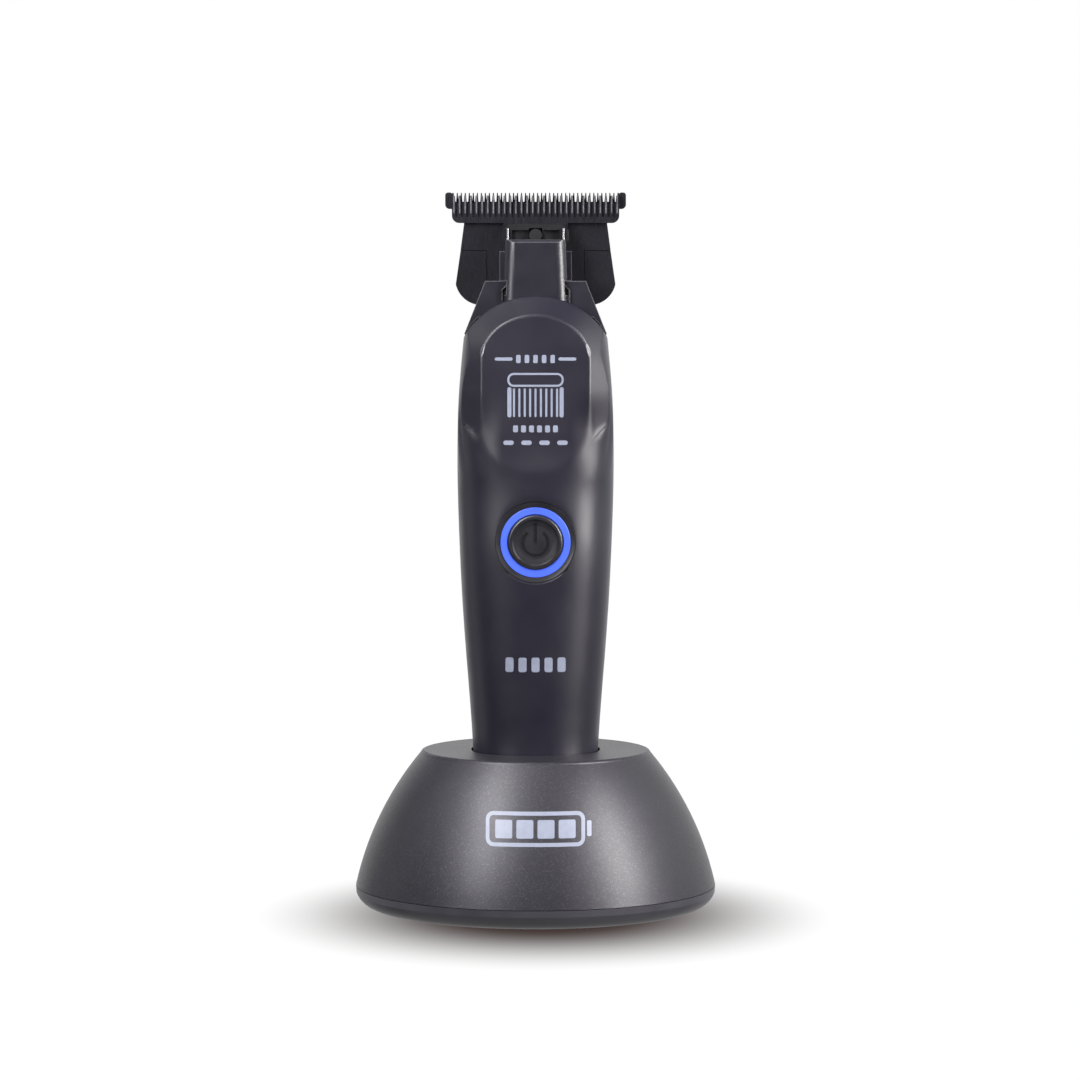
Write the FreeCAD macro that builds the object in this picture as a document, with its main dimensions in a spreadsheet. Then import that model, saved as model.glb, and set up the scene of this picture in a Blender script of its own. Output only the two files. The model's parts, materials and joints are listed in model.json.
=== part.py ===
"""Cordless T-blade hair clipper standing in its round charging dock.

Frame: +Z up, the clipper's front (power button) faces -Y, origin at the centre of the dock's foot.
Millimetres. Every driving size is a cell of the sheet; formulas below name those cells.
"""
import FreeCAD
import Part
import Sketcher
import math
import os
import re

from FreeCAD import Placement, Rotation, Vector

doc = FreeCAD.newDocument("hair_clipper")
sheet = doc.addObject("Spreadsheet::Sheet", "dims")

# ---------------------------------------------------------------- driving sizes
DIMENSIONS = {
    # dock, outside
    "rim_radius": 45.0,
    "rim_height": 5.6,
    "plateau_radius": 28.4,
    "plateau_height": 39.4,
    "flank_radius": 77.6,
    "plateau_edge_radius": 1.0,
    "dock_wall": 2.4,
    "seam_gap": 0.16,
    # dock, underside
    "base_height": 0.4,
    "base_flat_radius": 40.2,
    "base_floor_thickness": 2.6,
    "base_lip_height": 6.4,
    "base_lip_thickness": 1.6,
    "foot_inner_radius": 33.8,
    "foot_outer_radius": 38.2,
    "foot_thickness": 1.1,
    "dock_post_circle": 26.0,
    "dock_post_radius": 3.0,
    "dock_screw_radius": 1.45,
    "dock_screw_head_radius": 2.7,
    "dock_screw_head_height": 1.1,
    "dock_screw_length": 13.0,
    "ballast_inner_radius": 20.5,
    "ballast_outer_radius": 37.5,
    "ballast_bottom": 3.2,
    "ballast_thickness": 7.0,
    "ballast_gap_half_width": 12.0,
    # dock, charging parts
    "well_gap": 0.5,
    "well_wall": 1.6,
    "well_floor": 21.75,
    "well_floor_thickness": 2.1,
    "dock_board_bottom": 6.6,
    "dock_board_thickness": 1.6,
    "dock_board_half_width": 10.0,
    "dock_board_front": 10.0,
    "dock_board_rear": 40.4,
    "contact_spacing": 10.0,
    "contact_block_half_width": 8.6,
    "contact_block_half_depth": 3.2,
    "contact_pin_radius": 1.0,
    "contact_flange_radius": 1.5,
    "contact_flange_bottom": 14.5,
    "contact_top": 21.95,
    "spring_bottom": 9.3,
    "inlet_width": 8.94,
    "inlet_thickness": 3.26,
    "inlet_length": 7.3,
    "inlet_mouth": 43.3,
    # clipper, outside
    "clipper_bottom": 22.0,
    "housing_wall": 2.0,
    "end_cap_height": 3.0,
    "parting_gap": 0.16,
    "panel_foot_height": 115.0,
    "panel_foot_front": 16.1,
    "panel_tilt": 1.4,
    "panel_half_width": 13.3,
    "panel_shoulder": 137.1,
    "panel_top": 147.9,
    "panel_rim_radius": 0.6,
    "arch_edge_radius": 0.9,
    "bevel_depth": 6.0,
    "arch_radius": 20.6,
    "arch_lap": 0.9,
    "arch_centre": 132.2,
    "crease_height": 116.6,
    "blend_foot_height": 100.0,
    "blend_radius": 36.0,
    "rear_top": 149.8,
    # power button
    "button_height": 92.2,
    "dish_radius": 10.1,
    "dish_front": 16.15,
    "light_outer_radius": 8.6,
    "light_inner_radius": 7.0,
    "light_front": 16.45,
    "cap_radius": 6.75,
    "cap_front": 17.0,
    "cap_dish_radius": 5.4,
    # neck and lever
    "frame_top": 156.3,
    "frame_top_half_width": 12.45,
    "frame_shoulder": 143.3,
    "frame_shoulder_half_width": 17.6,
    "frame_tab_top": 163.7,
    "frame_front": 6.5,
    "frame_rear": 2.9,
    "frame_bottom": 132.4,
    "frame_inner_half_width": 14.0,
    "lever_channel_half_width": 7.0,
    "lever_channel_front": 5.0,
    "lever_channel_rear": 1.7,
    "pivot_height": 153.6,
    "pivot_radius": 1.5,
    "running_clearance": 0.05,
    "finger_height": 167.6,
    "finger_radius": 1.6,
    "fork_half_gap": 3.45,
    "fork_prong": 1.95,
    "fork_bottom": 139.4,
    # motor
    "motor_centre": 1.5,
    "motor_radius": 10.5,
    "motor_bottom": 101.0,
    "motor_top": 130.0,
    "motor_wall": 0.8,
    "shaft_radius": 1.0,
    "crank_radius": 3.0,
    "crank_throw": 1.05,
    "crank_pin_radius": 1.0,
    "crank_pin_top": 143.4,
    # battery and board
    "cell_radius": 9.0,
    "cell_length": 65.0,
    "cell_bottom": 32.2,
    "cell_centre": 2.5,
    "board_front": 9.2,
    "board_thickness": 1.2,
    "board_half_width": 9.0,
    "board_bottom": 46.0,
    "board_top": 98.8,
    # blades
    "blade_contact": 3.0,
    "blade_thickness": 1.2,
    "blade_half_width": 22.5,
    "blade_tip": 178.2,
    "blade_gullet": 176.0,
    "horn_top": 178.3,
    "horn_bottom": 174.2,
    "horn_width": 1.7,
    "tooth_pitch": 1.0,
    "tooth_count": 41,
    "tooth_gap": 0.55,
    "blade_waist_half_width": 17.8,
    "blade_waist_height": 170.7,
    "blade_foot_height": 163.95,
    "blade_foot_half_width": 18.7,
    "blade_stem_half_width": 12.1,
    "blade_stem_bottom": 152.2,
    "skirt_top": 163.8,
    "skirt_bottom": 150.3,
    "skirt_half_width": 19.9,
    "skirt_widest": 155.5,
    "skirt_corner_radius": 5.2,
    "skirt_back": 1.0,
    "cutter_half_width": 20.8,
    "cutter_bottom": 170.7,
    "cutter_tip": 177.5,
    "cutter_thickness": 1.58,
    "cutter_pitch": 1.4,
    "cutter_count": 29,
    "cutter_gap": 0.62,
    "rib_bottom": 172.2,
    "rib_top": 175.7,
    "rib_groove_depth": 0.35,
    "carrier_half_width": 8.3,
    "carrier_bottom": 165.8,
    "carrier_top": 170.4,
    "carrier_front": 1.6,
    # tongue over the lever, and the blade spring
    "tongue_bottom": 150.6,
    "tongue_top": 166.5,
    "tongue_front": 8.4,
    "tongue_side_front": 6.6,
    "tongue_rear": 3.4,
    "tongue_half_width_low": 8.05,
    "tongue_half_width_high": 7.4,
    "tongue_flat_half_width": 5.2,
    "spring_wire_radius": 0.3,
}

# The clipper's outline, one station every 14 mm of height: half width, depth towards the front and
# towards the rear, and how square the section is there (2 is an ellipse) at the front and the rear.
STATION_FIELDS = ("half_width", "front_depth", "rear_depth", "front_power", "rear_power")
STATION_FIRST = DIMENSIONS["clipper_bottom"]
STATION_STEP = 14.0
STATIONS = [
    (14.80, 14.40, 14.20, 2.30, 2.30),
    (15.45, 14.80, 14.60, 2.30, 2.30),
    (16.30, 15.30, 15.10, 2.35, 2.30),
    (17.40, 16.00, 15.80, 2.40, 2.30),
    (18.35, 16.60, 16.40, 2.50, 2.35),
    (19.00, 17.00, 16.90, 2.60, 2.40),
    (19.42, 16.80, 17.00, 2.60, 2.50),
    (19.35, 17.30, 16.60, 3.80, 2.60),
    (18.60, 17.40, 15.40, 4.00, 2.70),
    (17.20, 17.00, 12.40, 4.00, 2.70),
    (15.20, 16.50, 6.50, 4.00, 2.60),
]
for number, station in enumerate(STATIONS):
    for field, size in zip(STATION_FIELDS, station):
        DIMENSIONS[f"station_{'abcdefghijk'[number]}_{field}"] = size

for row, (alias, size) in enumerate(DIMENSIONS.items(), 1):
    sheet.set(f"A{row}", alias)
    sheet.set(f"B{row}", str(size))
    sheet.setAlias(f"B{row}", alias)
doc.recompute()


# ---------------------------------------------------------------- formulas and checks
def bound(formula):
    """The formula with each alias written as a cell of the sheet."""
    def spell(word):
        return f"dims.{word[0]}" if word[0] in DIMENSIONS else word[0]
    return re.sub(r"[a-z_][a-z_0-9]*", spell, str(formula))


def size_of(formula):
    """The number that a formula of aliases stands for."""
    return float(sheet.evalExpression(str(formula)))


def bind(piece, prop, formula):
    piece.setExpression(prop, bound(formula))


def place(piece, at, turn=None):
    """Puts a piece at three formulas, turned by an optional rotation."""
    base = Vector(*(size_of(f) for f in at))
    piece.Placement = Placement(base, turn or Rotation())
    for axis, formula in zip("xyz", at):
        if not isinstance(formula, (int, float)):
            bind(piece, f"Placement.Base.{axis}", formula)
    return piece


PARTS = {}


def keep(label, piece):
    """Registers a finished sub-part under the name of its node."""
    piece.Label = label
    PARTS[label] = piece
    return piece


# ---------------------------------------------------------------- modelling helpers
TOWARDS_FRONT = Rotation(Vector(1, 0, 0), 90)
TOWARDS_REAR = Rotation(Vector(1, 0, 0), -90)


def block(name, low, high):
    """A box between two corners given as formulas."""
    box = doc.addObject("Part::Box", name)
    for prop, a, b in zip(("Length", "Width", "Height"), low, high):
        bind(box, prop, f"({b}) - ({a})")
    return place(box, low)


def rod(name, radius, length, at, turn=None):
    cylinder = doc.addObject("Part::Cylinder", name)
    bind(cylinder, "Radius", radius)
    bind(cylinder, "Height", length)
    return place(cylinder, at, turn)


def fused(name, pieces):
    whole = doc.addObject("Part::MultiFuse", name)
    whole.Shapes = pieces
    whole.Refine = True
    return whole


def cut(name, base, tools):
    result = doc.addObject("Part::Cut", name)
    result.Base = base
    result.Tool = tools[0] if len(tools) == 1 else fused(f"{name}_tools", tools)
    return result


def grouped(name, pieces):
    """Several separate solids that share one node."""
    group = doc.addObject("Part::Compound", name)
    group.Links = pieces
    return group


def shaped(name, shape):
    """A piece whose shape comes from Part's own functions."""
    piece = doc.addObject("Part::Feature", name)
    piece.Shape = shape
    return piece


def origin_plane(body, role):
    return next(f for f in body.Origin.OriginFeatures if f.Role == role)


def arc_middle(start, end, radius):
    """The point half-way along the shorter arc, which bulges to the right of its direction of travel.

    Outlines run anticlockwise, so a positive radius is convex and a negative one hollow.
    """
    chord = end - start
    side = Vector(chord.y, -chord.x, 0).normalize()
    sagitta = abs(radius) - math.sqrt(radius**2 - (chord.Length / 2) ** 2)
    return (start + end) * 0.5 + side * math.copysign(sagitta, radius)


def sketched(body, name, role, corners, height=0, circles=()):
    """A sketch on one of the body's own planes.

    Each corner is a pair of formulas, or three where the side that ends there is an arc: the third
    is its radius. Circles are (centre x, centre y, radius) formulas.
    """
    sketch = body.newObject("Sketcher::SketchObject", name)
    sketch.AttachmentSupport = [(origin_plane(body, role), "")]
    sketch.MapMode = "FlatFace"
    bind(sketch, "AttachmentOffset.Base.z", height)
    points = [Vector(size_of(c[0]), size_of(c[1]), 0) for c in corners]
    sides = []
    for number, start in enumerate(points):
        last = (number + 1) % len(points)
        end, corner = points[last], corners[last]
        if len(corner) == 3:
            middle = arc_middle(start, end, size_of(corner[2]))
            arc = Part.Arc(start, middle, end)
            sides.append((arc, (2, 1) if arc.toShape().Curve.Axis.z < 0 else (1, 2), corner[2]))
        else:
            sides.append((Part.LineSegment(start, end), (1, 2), None))
    for geometry, _, _ in sides:
        sketch.addGeometry(geometry, False)
    for number, (_, ends, radius) in enumerate(sides):
        following = (number + 1) % len(sides)
        sketch.addConstraint(
            Sketcher.Constraint("Coincident", number, ends[1], following, sides[following][1][0])
        )
        for kind, formula in zip(("DistanceX", "DistanceY"), corners[number]):
            index = sketch.addConstraint(
                Sketcher.Constraint(kind, -1, 1, number, ends[0], size_of(formula))
            )
            if not isinstance(formula, (int, float)):
                bind(sketch, f"Constraints[{index}]", formula)
        if radius is not None:
            index = sketch.addConstraint(
                Sketcher.Constraint("Radius", number, abs(size_of(radius)))
            )
            bind(sketch, f"Constraints[{index}]", f"abs({radius})")
    for centre_x, centre_y, radius in circles:
        centre = Vector(size_of(centre_x), size_of(centre_y), 0)
        number = sketch.addGeometry(Part.Circle(centre, Vector(0, 0, 1), size_of(radius)), False)
        for kind, formula in (("DistanceX", centre_x), ("DistanceY", centre_y)):
            index = sketch.addConstraint(
                Sketcher.Constraint(kind, -1, 1, number, 3, size_of(formula))
            )
            bind(sketch, f"Constraints[{index}]", formula)
        index = sketch.addConstraint(Sketcher.Constraint("Radius", number, size_of(radius)))
        bind(sketch, f"Constraints[{index}]", radius)
    return sketch


def turned(name, outline, at=(0, 0, 0), turn=None):
    """A body of revolution: the outline is (radius, height) along its own axis."""
    body = doc.addObject("PartDesign::Body", name)
    profile = sketched(body, f"{name}_profile", "XZ_Plane", outline)
    feature = body.newObject("PartDesign::Revolution", f"{name}_turn")
    feature.Profile = profile
    feature.ReferenceAxis = (profile, ["V_Axis"])
    feature.Angle = 360
    body.Tip = feature
    return place(body, at, turn)


def ring(name, inner, outer, low, high, at=(0, 0, 0), turn=None):
    """A plain ring or washer."""
    corners = [(inner, low), (outer, low), (outer, high), (inner, high)]
    return turned(name, corners, at, turn)


def plate(name, role, outline, low, thickness, circles=()):
    """A flat piece padded from its outline, with optional round holes."""
    body = doc.addObject("PartDesign::Body", name)
    profile = sketched(body, f"{name}_outline", role, outline, low, circles)
    pad = body.newObject("PartDesign::Pad", f"{name}_pad")
    pad.Profile = profile
    bind(pad, "Length", thickness)
    body.Tip = pad
    return body


def pocketed(body, name, role, outline, low, depth, circles=()):
    """Removes an outline from a body, the same way as the plate it is cut from was padded."""
    profile = sketched(body, f"{name}_outline", role, outline, low, circles)
    pocket = body.newObject("PartDesign::Pocket", name)
    pocket.Profile = profile
    pocket.Reversed = True
    bind(pocket, "Length", depth)
    body.Tip = pocket
    return pocket


def repeated(body, name, feature, pitch, count):
    """Repeats a pocket in a row along the blade."""
    pattern = body.newObject("PartDesign::LinearPattern", name)
    pattern.Originals = [feature]
    pattern.Direction = (feature.Profile[0], ["H_Axis"])
    bind(pattern, "Length", f"({pitch}) * (({count}) - 1)")
    bind(pattern, "Occurrences", count)
    body.Tip = pattern
    return pattern


def mirrored(outline):
    """The full outline of a symmetric plate from its right half, listed from bottom to top."""
    left = []
    for number in range(len(outline) - 1, -1, -1):
        x, y = outline[number][:2]
        corner = (f"-({x})", y)
        if number + 1 < len(outline) and len(outline[number + 1]) == 3:
            corner += (outline[number + 1][2],)
        left.append(corner)
    return list(outline) + left


def wire_along(points, bend):
    """A path of straight runs joined by arcs of the bend's radius, through the given points."""
    runs = [Vector(*p) for p in points]
    edges = []
    start = runs[0]
    for before, corner, after in zip(runs, runs[1:], runs[2:]):
        inward = (before - corner).normalize()
        outward = (after - corner).normalize()
        half = inward.getAngle(outward) / 2
        shorter = min((before - corner).Length, (after - corner).Length)
        reach = min(bend / math.tan(half), 0.45 * shorter)
        first = corner + inward * reach
        second = corner + outward * reach
        radius = reach * math.tan(half)
        bisector = (inward + outward).normalize()
        middle = corner + bisector * (radius / math.sin(half) - radius)
        edges.append(Part.LineSegment(start, first).toShape())
        edges.append(Part.Arc(first, middle, second).toShape())
        start = second
    edges.append(Part.LineSegment(start, runs[-1]).toShape())
    return Part.Wire(edges)


def tube(points, radius, bend):
    """A round wire bent along its points."""
    path = wire_along(points, bend)
    start = Vector(*points[0])
    direction = Vector(*points[1]) - start
    circle = Part.Wire(Part.Circle(start, direction, radius).toShape())
    swept = path.makePipeShell([circle], True, True)
    return Part.Solid(swept) if swept.ShapeType == "Shell" else swept


# ---------------------------------------------------------------- the clipper's envelope
SECTION_POINTS = 40


def section(number, offset, power_limit):
    """One station's closed outline, moved outwards by the offset."""
    letter = "abcdefghijk"[number]
    half_width, front, rear, front_power, rear_power = (
        size_of(f"station_{letter}_{field}") for field in STATION_FIELDS
    )
    height = STATION_FIRST + STATION_STEP * number
    points = []
    for step in range(SECTION_POINTS):
        angle = 2 * math.pi * step / SECTION_POINTS
        across, along = math.cos(angle), math.sin(angle)
        depth = rear if along > 0 else front
        power = min(rear_power if along > 0 else front_power, power_limit)
        reach = (abs(across) ** power + abs(along) ** power) ** (-1 / power)
        points.append(
            Vector((half_width + offset) * across * reach, (depth + offset) * along * reach, height)
        )
    curve = Part.BSplineCurve()
    curve.interpolate(
        Points=points, PeriodicFlag=True, Parameters=[float(i) for i in range(SECTION_POINTS + 1)]
    )
    return Part.Wire(curve.toShape())


def envelope(offset=0.0, power_limit=9.0, stations=range(len(STATIONS))):
    """The clipper's body as one smooth solid through its stations, grown by the offset."""
    wires = [section(number, offset, power_limit) for number in stations]
    return Part.makeLoft(wires, True, False)


def slab(low, high):
    """A plain box between two points, for trimming."""
    low, high = Vector(*low), Vector(*high)
    extent = high - low
    return Part.makeBox(extent.x, extent.y, extent.z, low)


def arch_outline(half_width, shoulder, top, foot, depth):
    """A closed arch in a plane of constant depth: straight sides under a half ellipse."""
    front = -depth
    left_foot = Vector(-half_width, front, foot)
    right_foot = Vector(half_width, front, foot)
    left = Vector(-half_width, front, shoulder)
    right = Vector(half_width, front, shoulder)
    rise = top - shoulder
    centre = Vector(0, front, shoulder)
    if abs(rise - half_width) < 1e-6:
        crown = Part.Arc(right, Vector(0, front, top), left).toShape()
    elif rise < half_width:
        ellipse = Part.Ellipse(right, Vector(0, front, top), centre)
        crown = Part.ArcOfEllipse(ellipse, 0, math.pi).toShape()
    else:
        ellipse = Part.Ellipse(Vector(0, front, top), right, centre)
        crown = Part.ArcOfEllipse(ellipse, math.pi / 2, 3 * math.pi / 2).toShape()
    return Part.Wire([
        Part.LineSegment(left_foot, right_foot).toShape(),
        Part.LineSegment(right_foot, right).toShape(),
        crown,
        Part.LineSegment(left, left_foot).toShape(),
    ])


def arch_prism(grow, front, rear):
    """The arched end of the housings as a block from front to rear, grown all round."""
    radius = size_of("arch_radius") + grow
    centre = size_of("arch_centre")
    outline = arch_outline(radius, centre, centre + radius, 10.0, front)
    return Part.Face(outline).extrude(Vector(0, rear + front, 0))


def reaches(edge, depth):
    """Whether the whole edge lies at this depth."""
    box = edge.BoundBox
    return abs(box.YMin - depth) < 1e-3 and abs(box.YMax - depth) < 1e-3


def housing_limits():
    """What the housings may fill: the bevelled arch above, and the plain body below its creases."""
    foot, lead = size_of("panel_foot_height"), size_of("panel_foot_front")
    bevel = size_of("bevel_depth")
    arch, centre = size_of("arch_radius"), size_of("arch_centre")
    inner = arch_outline(size_of("panel_half_width"), size_of("panel_shoulder"),
                         size_of("panel_top"), foot - 12.0, lead)
    outer = arch_outline(arch, centre, centre + arch, foot - 12.0, lead - bevel)
    bevelled = Part.makeLoft([outer, inner], True, True)
    rim = [edge for edge in bevelled.Edges if reaches(edge, -lead) and edge.BoundBox.ZMax > foot]
    bevelled = bevelled.makeFillet(size_of("panel_rim_radius"), rim)
    upper = bevelled.fuse(Part.Face(outer).extrude(Vector(0, 40.0, 0)))
    crown = [edge for edge in upper.Edges
             if reaches(edge, bevel - lead) and edge.BoundBox.ZMax > centre + 1]
    upper = upper.makeFillet(size_of("arch_edge_radius"), crown)
    upper.rotate(Vector(0, -lead, foot), Vector(1, 0, 0), -size_of("panel_tilt"))
    side, crease = size_of("panel_half_width"), size_of("crease_height")
    reach = 20.0
    roof = [(-side - reach, 0), (side + reach, 0), (side + reach, crease + reach),
            (side, crease), (-side, crease), (-side - reach, crease + reach)]
    corners = [Vector(x, -40, z) for x, z in roof]
    lower = Part.Face(Part.makePolygon(corners + corners[:1])).extrude(Vector(0, 80, 0))
    return upper.fuse(lower.cut(in_front_of_panel()))


def in_front_of_panel():
    """The space in front of the panel's plane, whose foot curves forward into the grip."""
    lean = math.tan(math.radians(size_of("panel_tilt")))
    lead, foot = size_of("panel_foot_front"), size_of("panel_foot_height")
    bend, tail = size_of("crease_height"), size_of("blend_foot_height")
    radius = size_of("blend_radius")

    def plane_at(height, sunk=0.0):
        return Vector(-40, (height - foot) * lean - lead - sunk, height)

    def drop(height):
        return (bend - height) ** 2 / (2 * radius)

    middle = (bend + tail) / 2
    start, end = plane_at(bend), plane_at(tail, drop(tail))
    top = plane_at(170.0)
    outside = [Vector(-40, -40, 170.0), Vector(-40, -40, tail)]
    profile = Part.Wire([
        Part.Arc(start, plane_at(middle, drop(middle)), end).toShape(),
        Part.LineSegment(end, outside[1]).toShape(),
        Part.LineSegment(outside[1], outside[0]).toShape(),
        Part.LineSegment(outside[0], top).toShape(),
        Part.LineSegment(top, start).toShape(),
    ])
    return Part.Face(profile).extrude(Vector(80, 0, 0))


# ---------------------------------------------------------------- the dock
def make_dock():
    rim, wall = "rim_radius", "dock_wall"
    outer = turned("dock_outer", [
        (0, "rim_height"), (rim, "rim_height"),
        ("plateau_radius + 0.35", "plateau_height - plateau_edge_radius * 0.7", "flank_radius"),
        ("plateau_radius - plateau_edge_radius * 0.5", "plateau_height", "plateau_edge_radius"),
        (0, "plateau_height"),
    ])
    inner = turned("dock_inner", [
        (0, "rim_height - 1"), (f"{rim} - {wall}", "rim_height - 1"),
        (f"{rim} - {wall}", "rim_height"),
        (f"plateau_radius - {wall} + 0.9", f"plateau_height - {wall}", f"flank_radius - {wall}"),
        (0, f"plateau_height - {wall}"),
    ])
    hollow = cut("dock_hollow", outer, [inner])
    posts, pilots = [], []
    for quarter in range(4):
        angle = math.radians(45 + 90 * quarter)
        at = (f"dock_post_circle * {math.cos(angle):.6f}", f"dock_post_circle * {math.sin(angle):.6f}")
        posts.append(rod(f"dock_post_{quarter}", "dock_post_radius", "plateau_height - 5.15",
                         (*at, "base_height + base_floor_thickness + 0.15")))
        pilots.append(rod(f"dock_pilot_{quarter}", "dock_screw_radius + running_clearance",
                          "dock_screw_length + 2", (*at, "base_height + base_floor_thickness - 1")))
    well = shaped("dock_well_cutter", envelope(size_of("well_gap")).common(
        slab((-30, -30, 30), (30, 30, 60))))
    inlet_hole = inlet_outline("inlet_hole", 0.35, 38.0, 50.0)
    keep("dock_shell", cut("dock_shell_cut", fused("dock_walls", [hollow, *posts]),
                           [well, inlet_hole, *pilots]))

    base = turned("base_turned", [
        (0, "base_height"), ("base_flat_radius", "base_height"),
        (f"{rim} - 0.1", "base_height + 3.4", 5.2), (f"{rim}", "rim_height - seam_gap"),
        (f"{rim} - {wall} - 0.5", "rim_height - seam_gap"),
        (f"{rim} - {wall} - 0.5", "base_lip_height"),
        (f"{rim} - {wall} - base_lip_thickness", "base_lip_height"),
        (f"{rim} - {wall} - base_lip_thickness", "base_height + base_floor_thickness"),
        (0, "base_height + base_floor_thickness"),
    ])
    groove = ring("base_foot_groove", "foot_inner_radius - 0.1", "foot_outer_radius + 0.1",
                  0, "foot_thickness + 0.05")
    holes, pegs, screws = [groove], [], []
    for quarter in range(4):
        angle = math.radians(45 + 90 * quarter)
        at = (f"dock_post_circle * {math.cos(angle):.6f}", f"dock_post_circle * {math.sin(angle):.6f}")
        holes.append(rod(f"base_hole_{quarter}", "dock_screw_radius + 0.2",
                         "base_floor_thickness + 1", (*at, 0)))
        holes.append(rod(f"base_recess_{quarter}", "dock_screw_head_radius + 0.3",
                         "dock_screw_head_height + 0.3", (*at, "base_height")))
        head = rod(f"dock_screw_head_{quarter}", "dock_screw_head_radius",
                   "dock_screw_head_height", (*at, "base_height + 0.2"))
        shank = rod(f"dock_screw_shank_{quarter}", "dock_screw_radius", "dock_screw_length",
                    (*at, "base_height + 0.2"))
        drive = rod(f"dock_screw_drive_{quarter}", 1.1, 0.6, (*at, "base_height + 0.19"))
        screws.append(cut(f"dock_screw_{quarter}",
                          fused(f"dock_screw_body_{quarter}", [head, shank]), [drive]))
    for side in (-1, 1):
        for depth in (-7.0, 32.0):
            pegs.append(rod(f"board_peg_{side + 1}_{int(depth) + 10}", 1.5,
                            "dock_board_bottom - base_height - base_floor_thickness + 0.2",
                            (7.5 * side, depth, "base_height + base_floor_thickness - 0.2")))
    keep("dock_base_plate", fused("base_plate", [cut("base_drilled", base, holes), *pegs]))
    keep("dock_screws", grouped("dock_screw_set", screws))
    keep("dock_foot_ring", ring("foot_ring", "foot_inner_radius", "foot_outer_radius",
                                0, "foot_thickness"))

    ballast = ring("ballast_ring", "ballast_inner_radius", "ballast_outer_radius",
                   "ballast_bottom", "ballast_bottom + ballast_thickness")
    gap = block("ballast_gap", ("-ballast_gap_half_width", 0, 0),
                ("ballast_gap_half_width", "rim_radius", "plateau_height"))
    clear = [rod(f"ballast_hole_{quarter}", "dock_post_radius + 0.3", 12.0,
                 (f"dock_post_circle * {math.cos(math.radians(45 + 90 * quarter)):.6f}",
                  f"dock_post_circle * {math.sin(math.radians(45 + 90 * quarter)):.6f}", 2.0))
             for quarter in range(4)]
    keep("dock_ballast", cut("ballast_cut", ballast, [gap, *clear]))


def inlet_outline(name, grow, front, rear):
    """The rounded slot shape of a USB-C receptacle, as a solid from front to rear."""
    half = "inlet_thickness / 2"
    middle = f"dock_board_bottom + dock_board_thickness + {half}"
    low, high = f"{middle} - {half} - ({grow})", f"{middle} + {half} + ({grow})"
    flat = f"inlet_width / 2 - {half}"
    radius = f"{half} + ({grow})"
    body = plate(name, "XZ_Plane", [
        (f"-({flat})", low, radius), (flat, low), (f"{flat} + {radius}", middle, radius),
        (flat, high, radius), (f"-({flat})", high), (f"-({flat}) - ({radius})", middle, radius),
    ], f"-({rear})", f"({rear}) - ({front})")
    return body


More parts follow.
